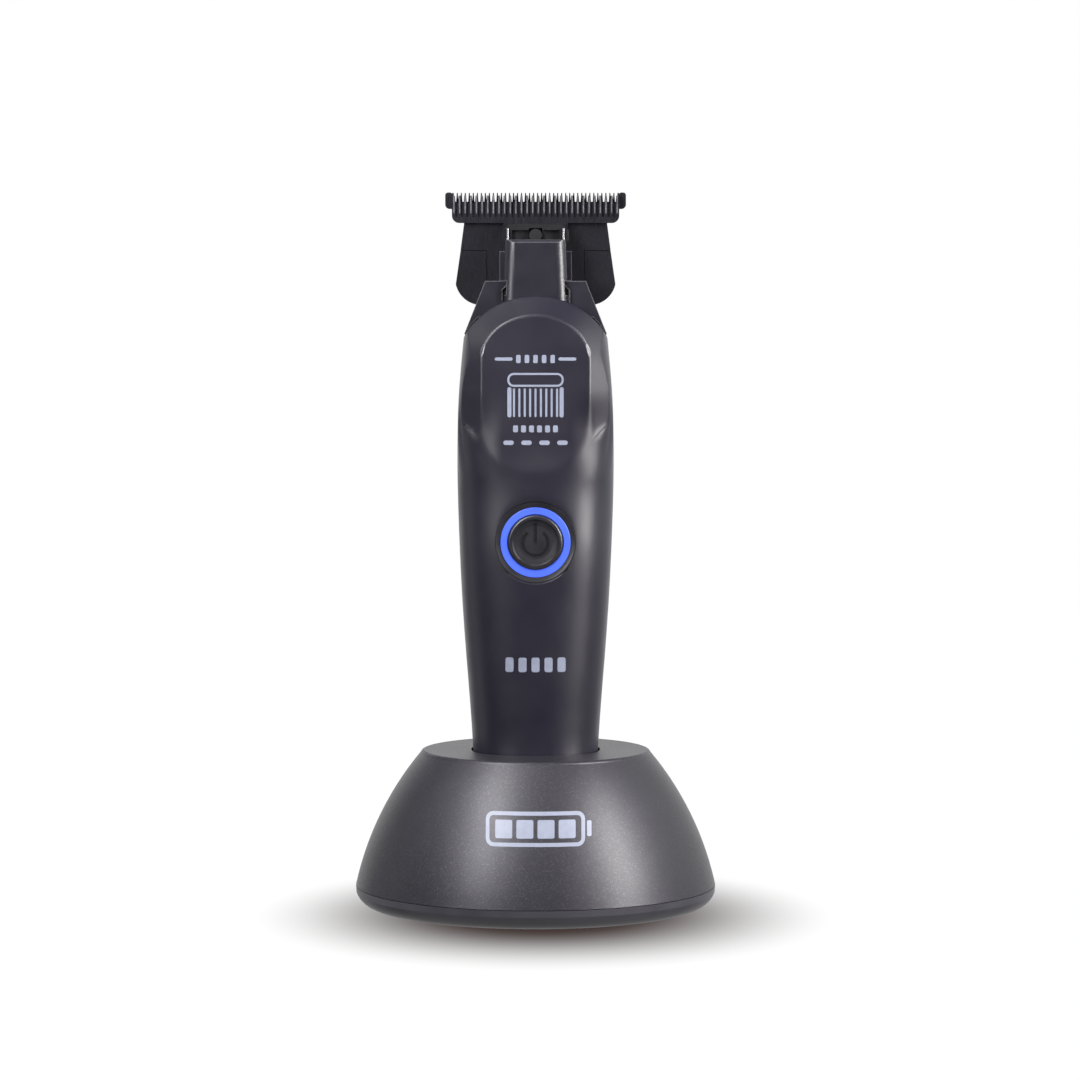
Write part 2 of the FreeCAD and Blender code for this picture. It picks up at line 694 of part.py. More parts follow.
def make_charging_parts():
    gap, wall = size_of("well_gap"), size_of("well_wall")
    floor, ceiling = size_of("well_floor"), size_of("plateau_height") - size_of("dock_wall") - 0.1
    outside = envelope(gap + wall).common(slab((-30, -30, floor), (30, 30, ceiling)))
    under = Part.Face(section(0, gap + wall, 9.0))
    base = under.extrude(Vector(0, 0, floor - STATION_FIRST - size_of("well_floor_thickness")))
    inside = envelope(gap).common(slab((-30, -30, STATION_FIRST), (30, 30, 60)))
    bottom = Part.Face(section(0, gap, 9.0)).extrude(Vector(0, 0, floor - STATION_FIRST))
    cup = outside.fuse(base).cut(inside).cut(bottom)
    for side in (-1, 1):
        x = side * size_of("contact_spacing") / 2
        cup = cup.cut(Part.makeCylinder(size_of("contact_pin_radius") + 0.15, 10, Vector(x, 0, 15)))
    keep("dock_well_cup", shaped("well_cup", cup.removeSplitter()))

    board_top = "dock_board_bottom + dock_board_thickness"
    keep("dock_circuit_board", block("dock_board", ("-dock_board_half_width", "-dock_board_front",
                                                    "dock_board_bottom"),
                                     ("dock_board_half_width", "dock_board_rear", board_top)))
    chips = [block(f"dock_chip_{n}", (x, y, board_top), (f"{x} + {dx}", f"{y} + {dy}",
                                                         f"{board_top} + {dz}"))
             for n, (x, y, dx, dy, dz) in enumerate([(-7, 10, 5, 6, 1.1), (2, 12, 5, 3, 1.6),
                                                     (-2, 22, 4, 4, 1.0), (5, 24, 3, 2, 1.2)])]
    keep("dock_board_chips", grouped("dock_chip_set", chips))
    block_top = "well_floor - well_floor_thickness - 0.1"
    body = block("contact_body", ("-contact_block_half_width", "-contact_block_half_depth",
                                  board_top),
                 ("contact_block_half_width", "contact_block_half_depth", block_top))
    wells = []
    stop = "contact_flange_bottom + 1.05"
    for side, word in ((-1, "left"), (1, "right")):
        x = f"{side} * contact_spacing / 2"
        wells.append(rod(f"contact_well_{word}", "contact_flange_radius + 0.08",
                         f"{stop} - spring_bottom", (x, 0, "spring_bottom")))
        wells.append(rod(f"contact_guide_{word}", "contact_pin_radius + 0.08", 12,
                         (x, 0, "contact_flange_bottom")))
        keep(f"contact_pin_{word}", turned(f"pin_{word}", [
            (0, "contact_flange_bottom"), ("contact_flange_radius", "contact_flange_bottom"),
            ("contact_flange_radius", "contact_flange_bottom + 1"),
            ("contact_pin_radius", "contact_flange_bottom + 1"),
            ("contact_pin_radius", "contact_top - 0.4"),
            ("contact_pin_radius - 0.5", "contact_top", 0.7), (0, "contact_top"),
        ], (x, 0, 0)))
        coil_height = size_of("contact_flange_bottom - spring_bottom") - 0.44
        helix = Part.makeHelix(coil_height / 6, coil_height, 1.15)
        circle = Part.Wire(Part.Circle(Vector(1.15, 0, 0), Vector(0, 1, 0), 0.17).toShape())
        coil = Part.Wire(helix).makePipeShell([circle], True, True)
        coil.translate(Vector(size_of(x), 0, size_of("spring_bottom") + 0.22))
        keep(f"contact_spring_{word}", shaped(f"coil_{word}", coil))
    keep("contact_block", cut("contact_block_cut", body, wells))

    tip = "inlet_mouth"
    shell = inlet_outline("inlet_body", 0, f"{tip} - inlet_length", tip)
    cavity = inlet_outline("inlet_cavity", -0.32, f"{tip} - inlet_length + 1", f"{tip} + 1")
    middle = "dock_board_bottom + dock_board_thickness + inlet_thickness / 2"
    tongue = block("inlet_tongue", (-3.3, f"{tip} - inlet_length + 0.5", f"{middle} - 0.35"),
                   (3.3, f"{tip} - 0.7", f"{middle} + 0.35"))
    keep("dock_usb_inlet", fused("inlet", [cut("inlet_hollow", shell, [cavity]), tongue]))


# ---------------------------------------------------------------- housings
def make_housings():
    bottom, wall = STATION_FIRST, size_of("housing_wall")
    cap_top = bottom + size_of("end_cap_height")
    parting = size_of("parting_gap") / 2
    whole = envelope().common(housing_limits()).common(slab((-30, -30, 21), (30, 30, 156)))
    whole = whole.Solids[0]
    foot_rings = []
    for rise, inset in ((0.0, 1.2), (0.35, 0.45), (1.25, -0.25)):
        foot_ring = section(0, -inset, 9.0)
        foot_ring.translate(Vector(0, 0, rise))
        foot_rings.append(foot_ring)
    foot_form = Part.makeLoft(foot_rings, True, True)
    above = slab((-30, -30, bottom + 1.25), (30, 30, 160))
    whole = whole.common(foot_form.fuse(above))

    hood = 138.0
    hollow = envelope(-wall, 2.3).common(slab((-30, -13.6, cap_top - 1), (30, 30, hood)))
    hood_hollow = envelope(-wall, 2.3).common(slab((-30, -9.3, hood - 0.01), (30, 30, 156)))
    hollow = hollow.fuse(hood_hollow).common(arch_prism(-wall, 30, 30))
    frame_clear = 0.12
    inner = size_of("frame_inner_half_width") + frame_clear
    front, rear = -size_of("frame_front") - frame_clear, size_of("frame_rear") + frame_clear
    neck_hole = slab((-inner, front, size_of("frame_bottom") - 0.3), (inner, rear, 160))
    tongue_slot = slab((-9.3, -size_of("tongue_front") - 0.15, hood), (9.3, front + 1, 160))
    hollow = hollow.fuse(neck_hole).fuse(tongue_slot)

    front_half = whole.common(slab((-30, -30, cap_top + 0.15), (30, -parting, 160))).cut(hollow)
    button_axis = Vector(0, -30, size_of("button_height"))
    inward = Vector(0, 1, 0)
    dish = Part.makeCylinder(size_of("dish_radius"), 30 - size_of("dish_front"), button_axis, inward)
    hole = Part.makeCylinder(size_of("light_outer_radius") + 0.05, 25, button_axis, inward)
    front_half = front_half.cut(dish).cut(hole)
    keep("front_housing", shaped("front_half", front_half.removeSplitter()))

    top = size_of("rear_top")
    rear_half = whole.common(slab((-30, parting, cap_top + 0.15), (30, 30, top))).cut(hollow)
    step = slab((-30, 0, size_of("arch_centre")), (30, rear, 160)).cut(
        arch_prism(-size_of("arch_lap"), 30, 30))
    rear_half = rear_half.cut(step)
    shell_inside = whole.common(slab((-30, size_of("frame_rear") + 0.3, 120), (30, 30, top)))
    for side in (-1, 1):
        centre = Vector(side * 11.0, 0, 138.5)
        boss = Part.makeCylinder(3.4, 20, centre + Vector(0, size_of("frame_rear") + 0.3, 0), inward)
        rear_half = rear_half.fuse(boss.common(shell_inside))
        rear_half = rear_half.cut(Part.makeCylinder(1.3, 40, centre, inward))
        rear_half = rear_half.cut(Part.makeCylinder(2.5, 20, centre + Vector(0, 9.6, 0), inward))
    keep("rear_housing", shaped("rear_half", rear_half.removeSplitter()))

    cap = whole.common(slab((-30, -30, 21), (30, 30, cap_top)))
    plug = envelope(-wall - 0.15, 2.3).common(slab((-30, -30, cap_top - 1), (30, 30, cap_top + 2)))
    plug_hollow = envelope(-wall - 1.6, 2.3).common(slab((-30, -30, cap_top - 1), (30, 30, cap_top + 3)))
    cap = cap.fuse(plug).cut(plug_hollow)
    for side in (-1, 1):
        x = side * size_of("contact_spacing") / 2
        cap = cap.cut(Part.makeCylinder(2.0, 1.2, Vector(x, 0, bottom)))
        cap = cap.cut(Part.makeCylinder(0.9, 6, Vector(x, 0, bottom)))
        cap = cap.cut(Part.makeCylinder(1.2, 10, Vector(0, 6.0 * side, bottom)))
        cap = cap.cut(Part.makeCylinder(2.2, 1.3, Vector(0, 6.0 * side, bottom)))
    keep("end_cap", shaped("cap", cap.removeSplitter()))

    contacts, cap_screws, housing_screws = [], [], []
    for side in (-1, 1):
        x = f"{side} * contact_spacing / 2"
        pad = rod(f"charge_pad_{side + 1}", 2.0, 1.15, (x, 0, "clipper_bottom"))
        stem = rod(f"charge_stem_{side + 1}", 0.85, 5.4, (x, 0, "clipper_bottom"))
        contacts.append(fused(f"charge_contact_{side + 1}", [pad, stem]))
        cap_screws.append(turned(f"cap_screw_{side + 1}", [
            (0.9, 0), (2.0, 0), (2.0, 1.1), (1.0, 1.1), (1.0, 7.4), (0, 7.4), (0, 0.6), (0.9, 0.6),
        ], (0, 6.0 * side, "clipper_bottom + 0.15")))
        housing_screws.append(turned(f"housing_screw_{side + 1}", [
            (1.0, 0), (2.2, 0), (2.2, 1.4), (1.2, 1.4), (1.2, 9.6), (0, 9.6), (0, 0.8), (1.0, 0.8),
        ], (11.0 * side, 11.0, 138.5), TOWARDS_FRONT))
    keep("charge_contacts", grouped("charge_contact_pair", contacts))
    keep("end_cap_screws", grouped("cap_screw_pair", cap_screws))
    keep("housing_screws", grouped("housing_screw_pair", housing_screws))


# ---------------------------------------------------------------- power button
def make_button():
    at = (0, 0, "button_height")
    keep("button_bezel", turned("bezel", [
        ("light_outer_radius + 0.05", "dish_front + 0.01"), ("dish_radius - 0.1", "dish_front + 0.01"),
        ("dish_radius - 0.1", "dish_front + 0.35"), ("dish_radius - 0.4", "dish_front + 0.35"),
        ("light_outer_radius + 0.05", "dish_front + 0.1", -6.0),
    ], at, TOWARDS_FRONT))
    keep("light_ring", turned("ring_light", [
        ("light_inner_radius + 0.1", "board_front + 1.9"),
        ("light_outer_radius", "board_front + 1.9"),
        ("light_outer_radius", "light_front - 0.15"),
        ("light_outer_radius - 0.15", "light_front"),
        ("light_inner_radius", "light_front"), ("light_inner_radius", "light_front - 1.6"),
        ("light_inner_radius + 0.1", "light_front - 1.6"),
    ], at, TOWARDS_FRONT))
    stem = "board_front + 4.0"
    keep("power_button", turned("button_cap", [
        (0, stem), (2.2, stem), (2.2, "cap_front - 3.0"), ("cap_radius", "cap_front - 3.0"),
        ("cap_radius", "cap_front - 0.45"), ("cap_radius - 0.45", "cap_front", 0.6),
        ("cap_dish_radius + 0.35", "cap_front"), ("cap_dish_radius", "cap_front - 0.4"),
        ("cap_dish_radius - 1.2", "cap_front - 0.6"), (0, "cap_front - 0.6"),
    ], at, TOWARDS_FRONT))
    keep("switch_plunger", rod("plunger", 1.7, 1.7, (0, f"-({stem})", "button_height"),
                               TOWARDS_REAR))
    switch_low, switch_high = "-(board_front + 3.4)", "-(board_front)"
    switch = block("switch_box", (-3, switch_low, "button_height - 3"),
                   (3, switch_high, "button_height + 3"))
    bore = rod("switch_bore", 1.8, 2.2, (0, switch_low, "button_height"), TOWARDS_REAR)
    keep("tact_switch", cut("switch_cut", switch, [bore]))
    lamps = [block(f"led_{n}", (f"{x} - 0.9", "-(board_front + 1.3)", f"button_height + {z} - 0.7"),
                   (f"{x} + 0.9", "-board_front", f"button_height + {z} + 0.7"))
             for n, (x, z) in enumerate([(-5.5, -5.5), (5.5, -5.5), (-5.5, 5.5), (5.5, 5.5)])]
    keep("ring_leds", grouped("led_set", lamps))


# ---------------------------------------------------------------- neck, lever and blade spring
def make_neck():
    """The frame that carries the blade, with a channel where the lever swings."""
    depth = "frame_front + frame_rear"
    upper = plate("neck_upper", "XZ_Plane", mirrored([
        ("frame_shoulder_half_width", 139.0), ("frame_shoulder_half_width", "frame_shoulder"),
        ("frame_top_half_width", "frame_top"),
    ]), "-frame_rear", depth)
    lap = size_of("arch_lap")
    under = shaped("neck_arch", arch_prism(0.15, 20, 0.2).fuse(arch_prism(0.15 - lap, 20, 20)))
    lower = block("neck_lower", ("-frame_inner_half_width", "-frame_front", "frame_bottom"),
                  ("frame_inner_half_width", "frame_rear", 152.0))
    tab = block("neck_tab", (-9.0, "lever_channel_rear", "frame_top - 1"),
                (9.0, "frame_rear", "frame_tab_top"))
    body = fused("neck_body", [cut("neck_crown", upper, [under]), lower, tab])
    channel = block("neck_channel", ("-lever_channel_half_width", "-lever_channel_front", 120),
                    ("lever_channel_half_width", "lever_channel_rear", 190))
    pivot = rod("neck_pivot_hole", "pivot_radius + 0.01", 40, (0, -20, "pivot_height"), TOWARDS_REAR)
    drills = [rod(f"neck_screw_hole_{side + 1}", 1.25, 12.0, (11.0 * side, -2.0, 138.5), TOWARDS_REAR)
              for side in (-1, 1)]
    drills += [rod(f"neck_blade_hole_{side + 1}", 1.25, 7.0, (6.0 * side, -1.5 + 1.6, 160.8),
                   TOWARDS_REAR) for side in (-1, 1)]
    drills += [rod(f"neck_motor_hole_{side + 1}", 1.05, 8.0, (9.0 * side, "-motor_centre", 130.0))
               for side in (-1, 1)]
    keep("head_frame", cut("neck_frame", body, [channel, pivot, *drills]))
    keep("lever_pivot_pin", rod("pivot_pin", "pivot_radius", depth,
                                (0, "-frame_front", "pivot_height"), TOWARDS_REAR))


def make_lever():
    """The rocking lever: a fork round the crank pin below, a finger in the cutter above."""
    outer = "fork_half_gap + fork_prong"
    body = plate("lever", "XZ_Plane", mirrored([
        (0, "fork_bottom"), ("fork_half_gap", "fork_bottom"), (outer, "fork_bottom"),
        (outer, "pivot_height - 4.4"), (3.4, "pivot_height - 1.2"), (3.4, "pivot_height + 2.0"),
        (1.2, "pivot_height + 4.6"), (1.2, "finger_height - 1.0"),
    ][2:]), -1.4, 5.8, ())
    pocketed(body, "fork_gap", "XZ_Plane", mirrored([
        ("fork_half_gap", "fork_bottom - 1"), ("fork_half_gap", "pivot_height - 7.6"),
        (2.0, "pivot_height - 6.2"),
    ]), -3, 12)
    pocketed(body, "pivot_bore", "XZ_Plane", [], -3, 12,
             [(0, "pivot_height", "pivot_radius + running_clearance")])
    thin = block("lever_thinning", (-8, -12, "pivot_height + 4.6"), (8, -1.5, 180))
    thin_back = block("lever_back", (-8, 1.2, "pivot_height + 4.6"), (8, 6, 180))
    finger = rod("lever_finger", "finger_radius", 2.7, (0, -1.5, "finger_height"), TOWARDS_REAR)
    stem = cut("lever_stem", body, [thin, thin_back])
    keep("drive_lever", fused("lever_whole", [stem, finger]))


def tongue_outline(height, half_width):
    """The tongue's section: square at the rear, with rounded long edges beside its flat front."""
    front, flat = -size_of("tongue_front"), size_of("tongue_flat_half_width")
    side, rear = -size_of("tongue_side_front"), -size_of("tongue_rear")
    edges = [Part.LineSegment(Vector(-flat, front, height), Vector(flat, front, height)).toShape(),
             Part.LineSegment(Vector(-half_width, rear, height),
                              Vector(half_width, rear, height)).toShape()]
    for sign in (-1, 1):
        shoulder = Vector(sign * half_width, side, height)
        rounding = Vector(sign * (half_width - 0.75), front + 0.7, height)
        edges.append(Part.LineSegment(Vector(sign * half_width, rear, height), shoulder).toShape())
        edges.append(Part.Arc(shoulder, rounding, Vector(sign * flat, front, height)).toShape())
    return Part.Wire(Part.__sortEdges__(edges))


def make_tongue():
    """The hollow cover over the lever, narrower at its top, with a chamfered top edge."""
    low, high, front = (size_of(f"tongue_{end}") for end in ("bottom", "top", "front"))
    cover = Part.makeLoft([
        tongue_outline(low, size_of("tongue_half_width_low")),
        tongue_outline(high, size_of("tongue_half_width_high")),
    ], True, True)
    chamfer = Part.Face(Part.makePolygon([
        Vector(-20, -front - 1, high - 1.5), Vector(-20, -front + 1.1, high + 0.2),
        Vector(-20, -front - 1, high + 0.2), Vector(-20, -front - 1, high - 1.5),
    ])).extrude(Vector(40, 0, 0))
    frame_top, frame_front = size_of("frame_top"), size_of("frame_front")
    over_frame = slab((-10, -frame_front - 0.05, low - 1), (10, 0, frame_top + 0.1))
    wire_groove = slab((-10, -frame_front - 1.1, 152.8), (10, 0, frame_top + 0.1))
    hollow = slab((-6.3, -front + 0.9, frame_top - 0.1), (6.3, 0, high - 1.3))
    for tool in (chamfer, over_frame, wire_groove, hollow):
        cover = cover.cut(tool)
    keep("neck_cover", shaped("tongue", cover.removeSplitter()))


def make_blade_spring():
    """One bent wire: both legs rise from inside the housing, pass behind the tongue, press the cutter."""
    bottom = 149.4
    half = [
        (8.3, -7.0, bottom), (8.3, -7.0, 154.0), (5.6, -7.0, 156.6), (5.6, -7.0, 158.9),
        (5.6, -2.5, 162.0), (7.35, -2.45, 164.9), (6.9, -2.1, 166.9), (6.9, -2.1, 169.3),
    ]
    points = [(-x, y, z) for x, y, z in reversed(half)] + half
    keep("blade_spring", shaped("spring_wire", tube(points, size_of("spring_wire_radius"), 0.9)))


# ---------------------------------------------------------------- blades
def make_blades():
    gullet, tip = "blade_gullet", "blade_tip"
    inner_horn = "blade_half_width - horn_width"
    body = plate("blade", "XZ_Plane", mirrored([
        ("blade_stem_half_width", "blade_stem_bottom"), ("blade_stem_half_width", "blade_foot_height"),
        ("blade_foot_half_width", "blade_foot_height"),
        ("blade_waist_half_width", "blade_waist_height"), (20.0, "blade_waist_height + 1.6"),
        (20.0, "horn_bottom"), ("blade_half_width - 1.1", "horn_bottom"),
        ("blade_half_width", "horn_bottom + 1.1", 1.1),
        ("blade_half_width", "horn_top - 0.7"), ("blade_half_width - 0.7", "horn_top", 0.7),
        (f"{inner_horn} + 0.5", "horn_top"), (inner_horn, "horn_top - 0.5", 0.5),
        (inner_horn, tip),
    ]), "-(blade_contact + blade_thickness)", "blade_thickness", [
        (-6, 160.8, 1.4), (6, 160.8, 1.4),
    ])
    first = "-(tooth_count - 1) * tooth_pitch / 2"
    gap = pocketed(body, "tooth_gap_cut", "XZ_Plane", [
        (f"{first} - tooth_gap / 2 + 0.06", gullet), (f"{first} + tooth_gap / 2 - 0.06", gullet),
        (f"{first} + tooth_gap / 2 + 0.12", f"{tip} + 0.2"),
        (f"{first} - tooth_gap / 2 - 0.12", f"{tip} + 0.2"),
    ], "-(blade_contact + blade_thickness + 1)", "blade_thickness + 2")
    repeated(body, "tooth_row", gap, "tooth_pitch", "tooth_count")
    slope = block("tooth_slope", (-30, 0, 0), (30, 2.0, 6.0))
    slope.Placement = Placement(
        Vector(0, size_of("blade_contact + blade_thickness") - 0.05, size_of(gullet) - 1.0),
        Rotation(Vector(1, 0, 0), 14))
    keep("fixed_blade", cut("blade_ground", body, [slope]))

    skirt = plate("skirt", "XZ_Plane", mirrored([
        ("skirt_half_width - 6.4", "skirt_bottom"),
        ("skirt_half_width", "skirt_widest", "skirt_corner_radius + 1.4"),
        ("blade_foot_half_width", "skirt_top"), ("blade_foot_half_width - 0.35", "skirt_top + 2"),
    ]), "-(blade_contact + blade_thickness + skirt_back)", "blade_thickness + skirt_back", [
        (-6, 160.8, 1.4), (6, 160.8, 1.4),
    ])
    pocketed(skirt, "blade_seat", "XZ_Plane", mirrored([
        ("blade_stem_half_width + 0.12", "blade_stem_bottom - 0.15"),
        ("blade_stem_half_width + 0.12", "skirt_top"), ("skirt_half_width", "skirt_top"),
        ("skirt_half_width", "skirt_top + 3"),
    ]), "-(blade_contact + blade_thickness)", "blade_thickness + 1")
    keep("blade_skirt", skirt)

    heads = []
    head_seat = "blade_contact + blade_thickness + skirt_back"
    for side in (-1, 1):
        heads.append(turned(f"blade_screw_{side + 1}", [
            (0, 0), (1.2, 0), (1.2, f"{head_seat} - 0.3"), (2.5, f"{head_seat} - 0.3"),
            (2.5, f"{head_seat} + 0.9"), (2.1, f"{head_seat} + 1.3", 0.5),
            (0.9, f"{head_seat} + 1.3"), (0.9, f"{head_seat} + 0.5"), (0, f"{head_seat} + 0.5"),
        ], (6.0 * side, 0.3, 160.8), TOWARDS_REAR))
    keep("blade_screws", grouped("blade_screw_pair", heads))

    cutter = plate("cutter", "XZ_Plane", mirrored([
        (8.0, "carrier_bottom + 0.8"), (8.0, "cutter_bottom"),
        ("cutter_half_width - 1.8", "cutter_bottom"),
        ("cutter_half_width", "cutter_bottom + 1.8", 1.8), ("cutter_half_width", "cutter_tip"),
    ]), "-(blade_contact - 0.02)", "cutter_thickness")
    first = "-(cutter_count - 1) * cutter_pitch / 2"
    gap = pocketed(cutter, "cutter_gap_cut", "XZ_Plane", [
        (f"{first} - cutter_gap / 2", "rib_top"), (f"{first} + cutter_gap / 2", "rib_top"),
        (f"{first} + cutter_gap / 2 + 0.18", "cutter_tip + 0.2"),
        (f"{first} - cutter_gap / 2 - 0.18", "cutter_tip + 0.2"),
    ], "-(blade_contact + 1)", "cutter_thickness + 4")
    repeated(cutter, "cutter_row", gap, "cutter_pitch", "cutter_count")
    groove = pocketed(cutter, "rib_groove_cut", "XZ_Plane", [
        (f"{first} - cutter_gap / 2", "rib_bottom"), (f"{first} + cutter_gap / 2", "rib_bottom"),
        (f"{first} + cutter_gap / 2", "rib_top + 0.5"), (f"{first} - cutter_gap / 2", "rib_top + 0.5"),
    ], "-(blade_contact - 0.02 - cutter_thickness + rib_groove_depth)", 3)
    repeated(cutter, "rib_row", groove, "cutter_pitch", "cutter_count")
    keep("cutter_blade", cutter)

    face = "blade_contact - 0.02 - cutter_thickness"
    carrier = plate("carrier", "XZ_Plane", mirrored([
        ("carrier_half_width - 0.6", "carrier_bottom"), ("carrier_half_width", "carrier_bottom + 0.6"),
        ("carrier_half_width", "carrier_top - 1.7"), ("carrier_half_width - 1.7", "carrier_top"),
    ]), f"-({face})", f"{face} + carrier_front")
    pocketed(carrier, "carrier_recess", "XZ_Plane", mirrored([
        (5.9, "carrier_bottom - 1"), (5.9, "carrier_top - 1.5"),
    ]), "carrier_front - 1.2", 3)
    pocketed(carrier, "finger_slot", "XZ_Plane", mirrored([
        ("finger_radius + 0.06", "carrier_bottom - 1"),
        ("finger_radius + 0.06", "finger_height + finger_radius + 0.2"),
    ]), -3, 6)
    keep("cutter_carrier", carrier)


# ---------------------------------------------------------------- motor
def make_motor():
    at = (0, "-motor_centre", 0)
    low, high, wall = "motor_bottom", "motor_top", "motor_wall"
    keep("motor_can", turned("can", [
        (3.05, low), ("motor_radius - 0.8", low), ("motor_radius", f"{low} + 0.8", 0.8),
        ("motor_radius", f"{high} - 1.6"), (f"motor_radius - {wall}", f"{high} - 1.6"),
        (f"motor_radius - {wall}", f"{low} + 1.0"), (4.2, f"{low} + 1.0"), (4.2, f"{low} + 2.6"),
        (3.05, f"{low} + 2.6"),
    ], at))
    bell = turned("bell", [
        (3.05, f"{high} - 2.4"), (f"motor_radius - {wall} - 0.05", f"{high} - 2.4"),
        (f"motor_radius - {wall} - 0.05", f"{high} - 1.55"), ("motor_radius", f"{high} - 1.55"),
        ("motor_radius", high), (3.05, high),
    ], at)
    holes = [rod(f"bell_hole_{side + 1}", 1.05, 12.0, (9.0 * side, "-motor_centre", 120.0))
             for side in (-1, 1)]
    keep("motor_end_bell", cut("bell_drilled", bell, holes))
    screws = [turned(f"motor_screw_{side + 1}", [
        (0, f"{high} - 0.3"), (1.0, f"{high} - 0.3"), (1.0, 137.6), (0, 137.6),
    ], (9.0 * side, "-motor_centre", 0)) for side in (-1, 1)]
    keep("motor_screws", grouped("motor_screw_pair", screws))
    bearing_inner = "shaft_radius + running_clearance"
    keep("motor_bearings", grouped("bearing_pair", [
        ring("bearing_low", bearing_inner, 3.04, f"{low} + 0.2", f"{low} + 2.5", at),
        ring("bearing_high", bearing_inner, 3.04, f"{high} - 2.3", f"{high} - 0.1", at),
    ]))
    yoke = ring("stator_yoke", 7.9, f"motor_radius - {wall} - 0.05", 107.0, 122.0, at)
    teeth, coils = [], []
    for sixth in range(6):
        turn = Rotation(Vector(0, 0, 1), 60 * sixth)
        centre = Vector(0, -size_of("motor_centre"), 0)
        arm = Part.makeBox(3.4, 1.7, 15.0, Vector(4.9, -0.85, 107.0))
        wound = Part.makeBox(2.3, 3.4, 18.0, Vector(5.35, -1.7, 105.5)).cut(
            Part.makeBox(6.0, 1.8, 15.1, Vector(4.0, -0.9, 106.95)))
        for shape in (arm, wound):
            shape.Placement = Placement(centre, turn)
        teeth.append(shaped(f"stator_tooth_{sixth}", arm))
        coils.append(shaped(f"stator_coil_{sixth}", wound))
    keep("motor_stator", fused("stator", [yoke, *teeth]))
    keep("stator_windings", grouped("winding_set", coils))

    keep("rotor_magnet", ring("magnet", "shaft_radius", 4.5, 106.0, 123.0, at))
    keep("motor_shaft", turned("shaft", [
        (0, f"{low} + 0.3"), ("shaft_radius", f"{low} + 0.3"), ("shaft_radius", 135.5), (0, 135.5),
    ], at))
    hub = turned("crank_hub", [
        ("shaft_radius", 133.2), ("crank_radius", 133.2), ("crank_radius", 137.8), (0, 137.8),
        (0, 135.5), ("shaft_radius", 135.5),
    ], at)
    pin = rod("crank_pin", "crank_pin_radius", "crank_pin_top - 137",
              (0, "-motor_centre + crank_throw", 137.0))
    relief = block("crank_relief", (-4, "-motor_centre + 1.3", 135.7), (4, "-motor_centre + 4", 137.0))
    keep("eccentric_crank", fused("crank", [cut("crank_disc", hub, [relief]), pin]))


# ---------------------------------------------------------------- battery, board and chassis
def make_insides():
    cell_at = (0, "cell_centre", "cell_bottom")
    keep("battery_cell", turned("cell", [
        (0, 0), ("cell_radius - 0.6", 0), ("cell_radius", 0.6, 0.6),
        ("cell_radius", "cell_length - 2.4"), ("cell_radius - 0.35", "cell_length - 1.9"),
        ("cell_radius - 0.35", "cell_length - 1.3"), ("cell_radius - 0.8", "cell_length - 0.9"),
        (3.2, "cell_length - 0.9"), (2.8, "cell_length"), (0, "cell_length"),
    ], cell_at))
    top = "cell_bottom + cell_length"
    keep("battery_tabs", grouped("tab_pair", [
        block("tab_low", (-2.5, -4.0, "cell_bottom - 0.3"), (2.5, 8.0, "cell_bottom - 0.05")),
        block("tab_high", (-2.5, -4.0, f"{top} + 0.05"), (2.5, 8.0, f"{top} + 0.3")),
    ]))
    back = [
        block("chassis_back", (-10.2, -7.9, 28.0), (10.2, -6.7, 98.6)),
        block("chassis_foot", (-9.2, -7.9, 27.4), (9.2, 9.0, 31.6)),
        block("chassis_head", (-10.2, -7.9, f"{top} + 0.6"), (10.2, 9.0, f"{top} + 2.2")),
        block("chassis_rib_low", (-8.0, -8.0, 48.0), (-6.0, -6.7, 52.0)),
        block("chassis_rib_high", (6.0, -8.0, 48.0), (8.0, -6.7, 52.0)),
    ]
    for side in (-1, 1):
        back.append(block(f"chassis_wing_{side + 1}", (f"{side} * 9.7 - 0.5", -7.9, 58.0),
                          (f"{side} * 9.7 + 0.5", 2.0, 72.0)))
    bores = [rod(f"chassis_screw_{side + 1}", 1.05, 4.0, (0, 6.0 * side, 26.0)) for side in (-1, 1)]
    keep("inner_chassis", cut("chassis", fused("chassis_walls", back), bores))

    board_low, board_high = "-board_front", "-board_front + board_thickness"
    keep("main_circuit_board", block("main_board", ("-board_half_width", board_low, "board_bottom"),
                                     ("board_half_width", board_high, "board_top")))
    chips = [
        block(f"chip_{n}", (x, f"{board_low} - {dy}", z), (f"{x} + {dx}", board_low, f"{z} + {dz}"))
        for n, (x, z, dx, dz, dy) in enumerate([
            (-3.5, 64.0, 7.0, 7.0, 1.0), (-7.5, 54.0, 5.0, 4.0, 1.4), (2.5, 54.0, 4.0, 4.0, 0.9),
            (-7.5, 74.0, 3.0, 5.0, 0.8), (4.5, 74.0, 3.0, 3.0, 1.2), (4.5, 64.0, 3.4, 5.0, 1.9),
        ])
    ]
    keep("board_chips", grouped("chip_set", chips))

    def lead(name, points):
        return shaped(name, tube(points, 0.6, 2.5))

    board = -size_of("board_front") - 0.65
    keep("battery_leads", grouped("battery_lead_pair", [
        lead("lead_low", [(-6.5, board, 47.0), (-6.5, board - 0.3, 41.0), (-7.0, -10.0, 30.0)]),
        lead("lead_high", [(6.5, board, 47.0), (6.5, board - 0.3, 41.0), (7.0, -10.0, 30.0)]),
    ]))
    keep("motor_leads", grouped("motor_lead_set", [
        lead(f"motor_lead_{n}", [(x, board, 95.8), (x, board, 100.25), (x, -4.5, 100.25)])
        for n, x in enumerate((-3.0, 0.0, 3.0))
    ]))


# ---------------------------------------------------------------- making and writing
make_dock()
make_charging_parts()
make_housings()
make_button()
make_neck()
make_lever()
make_tongue()
make_blade_spring()
make_blades()
make_motor()
make_insides()
doc.recompute()

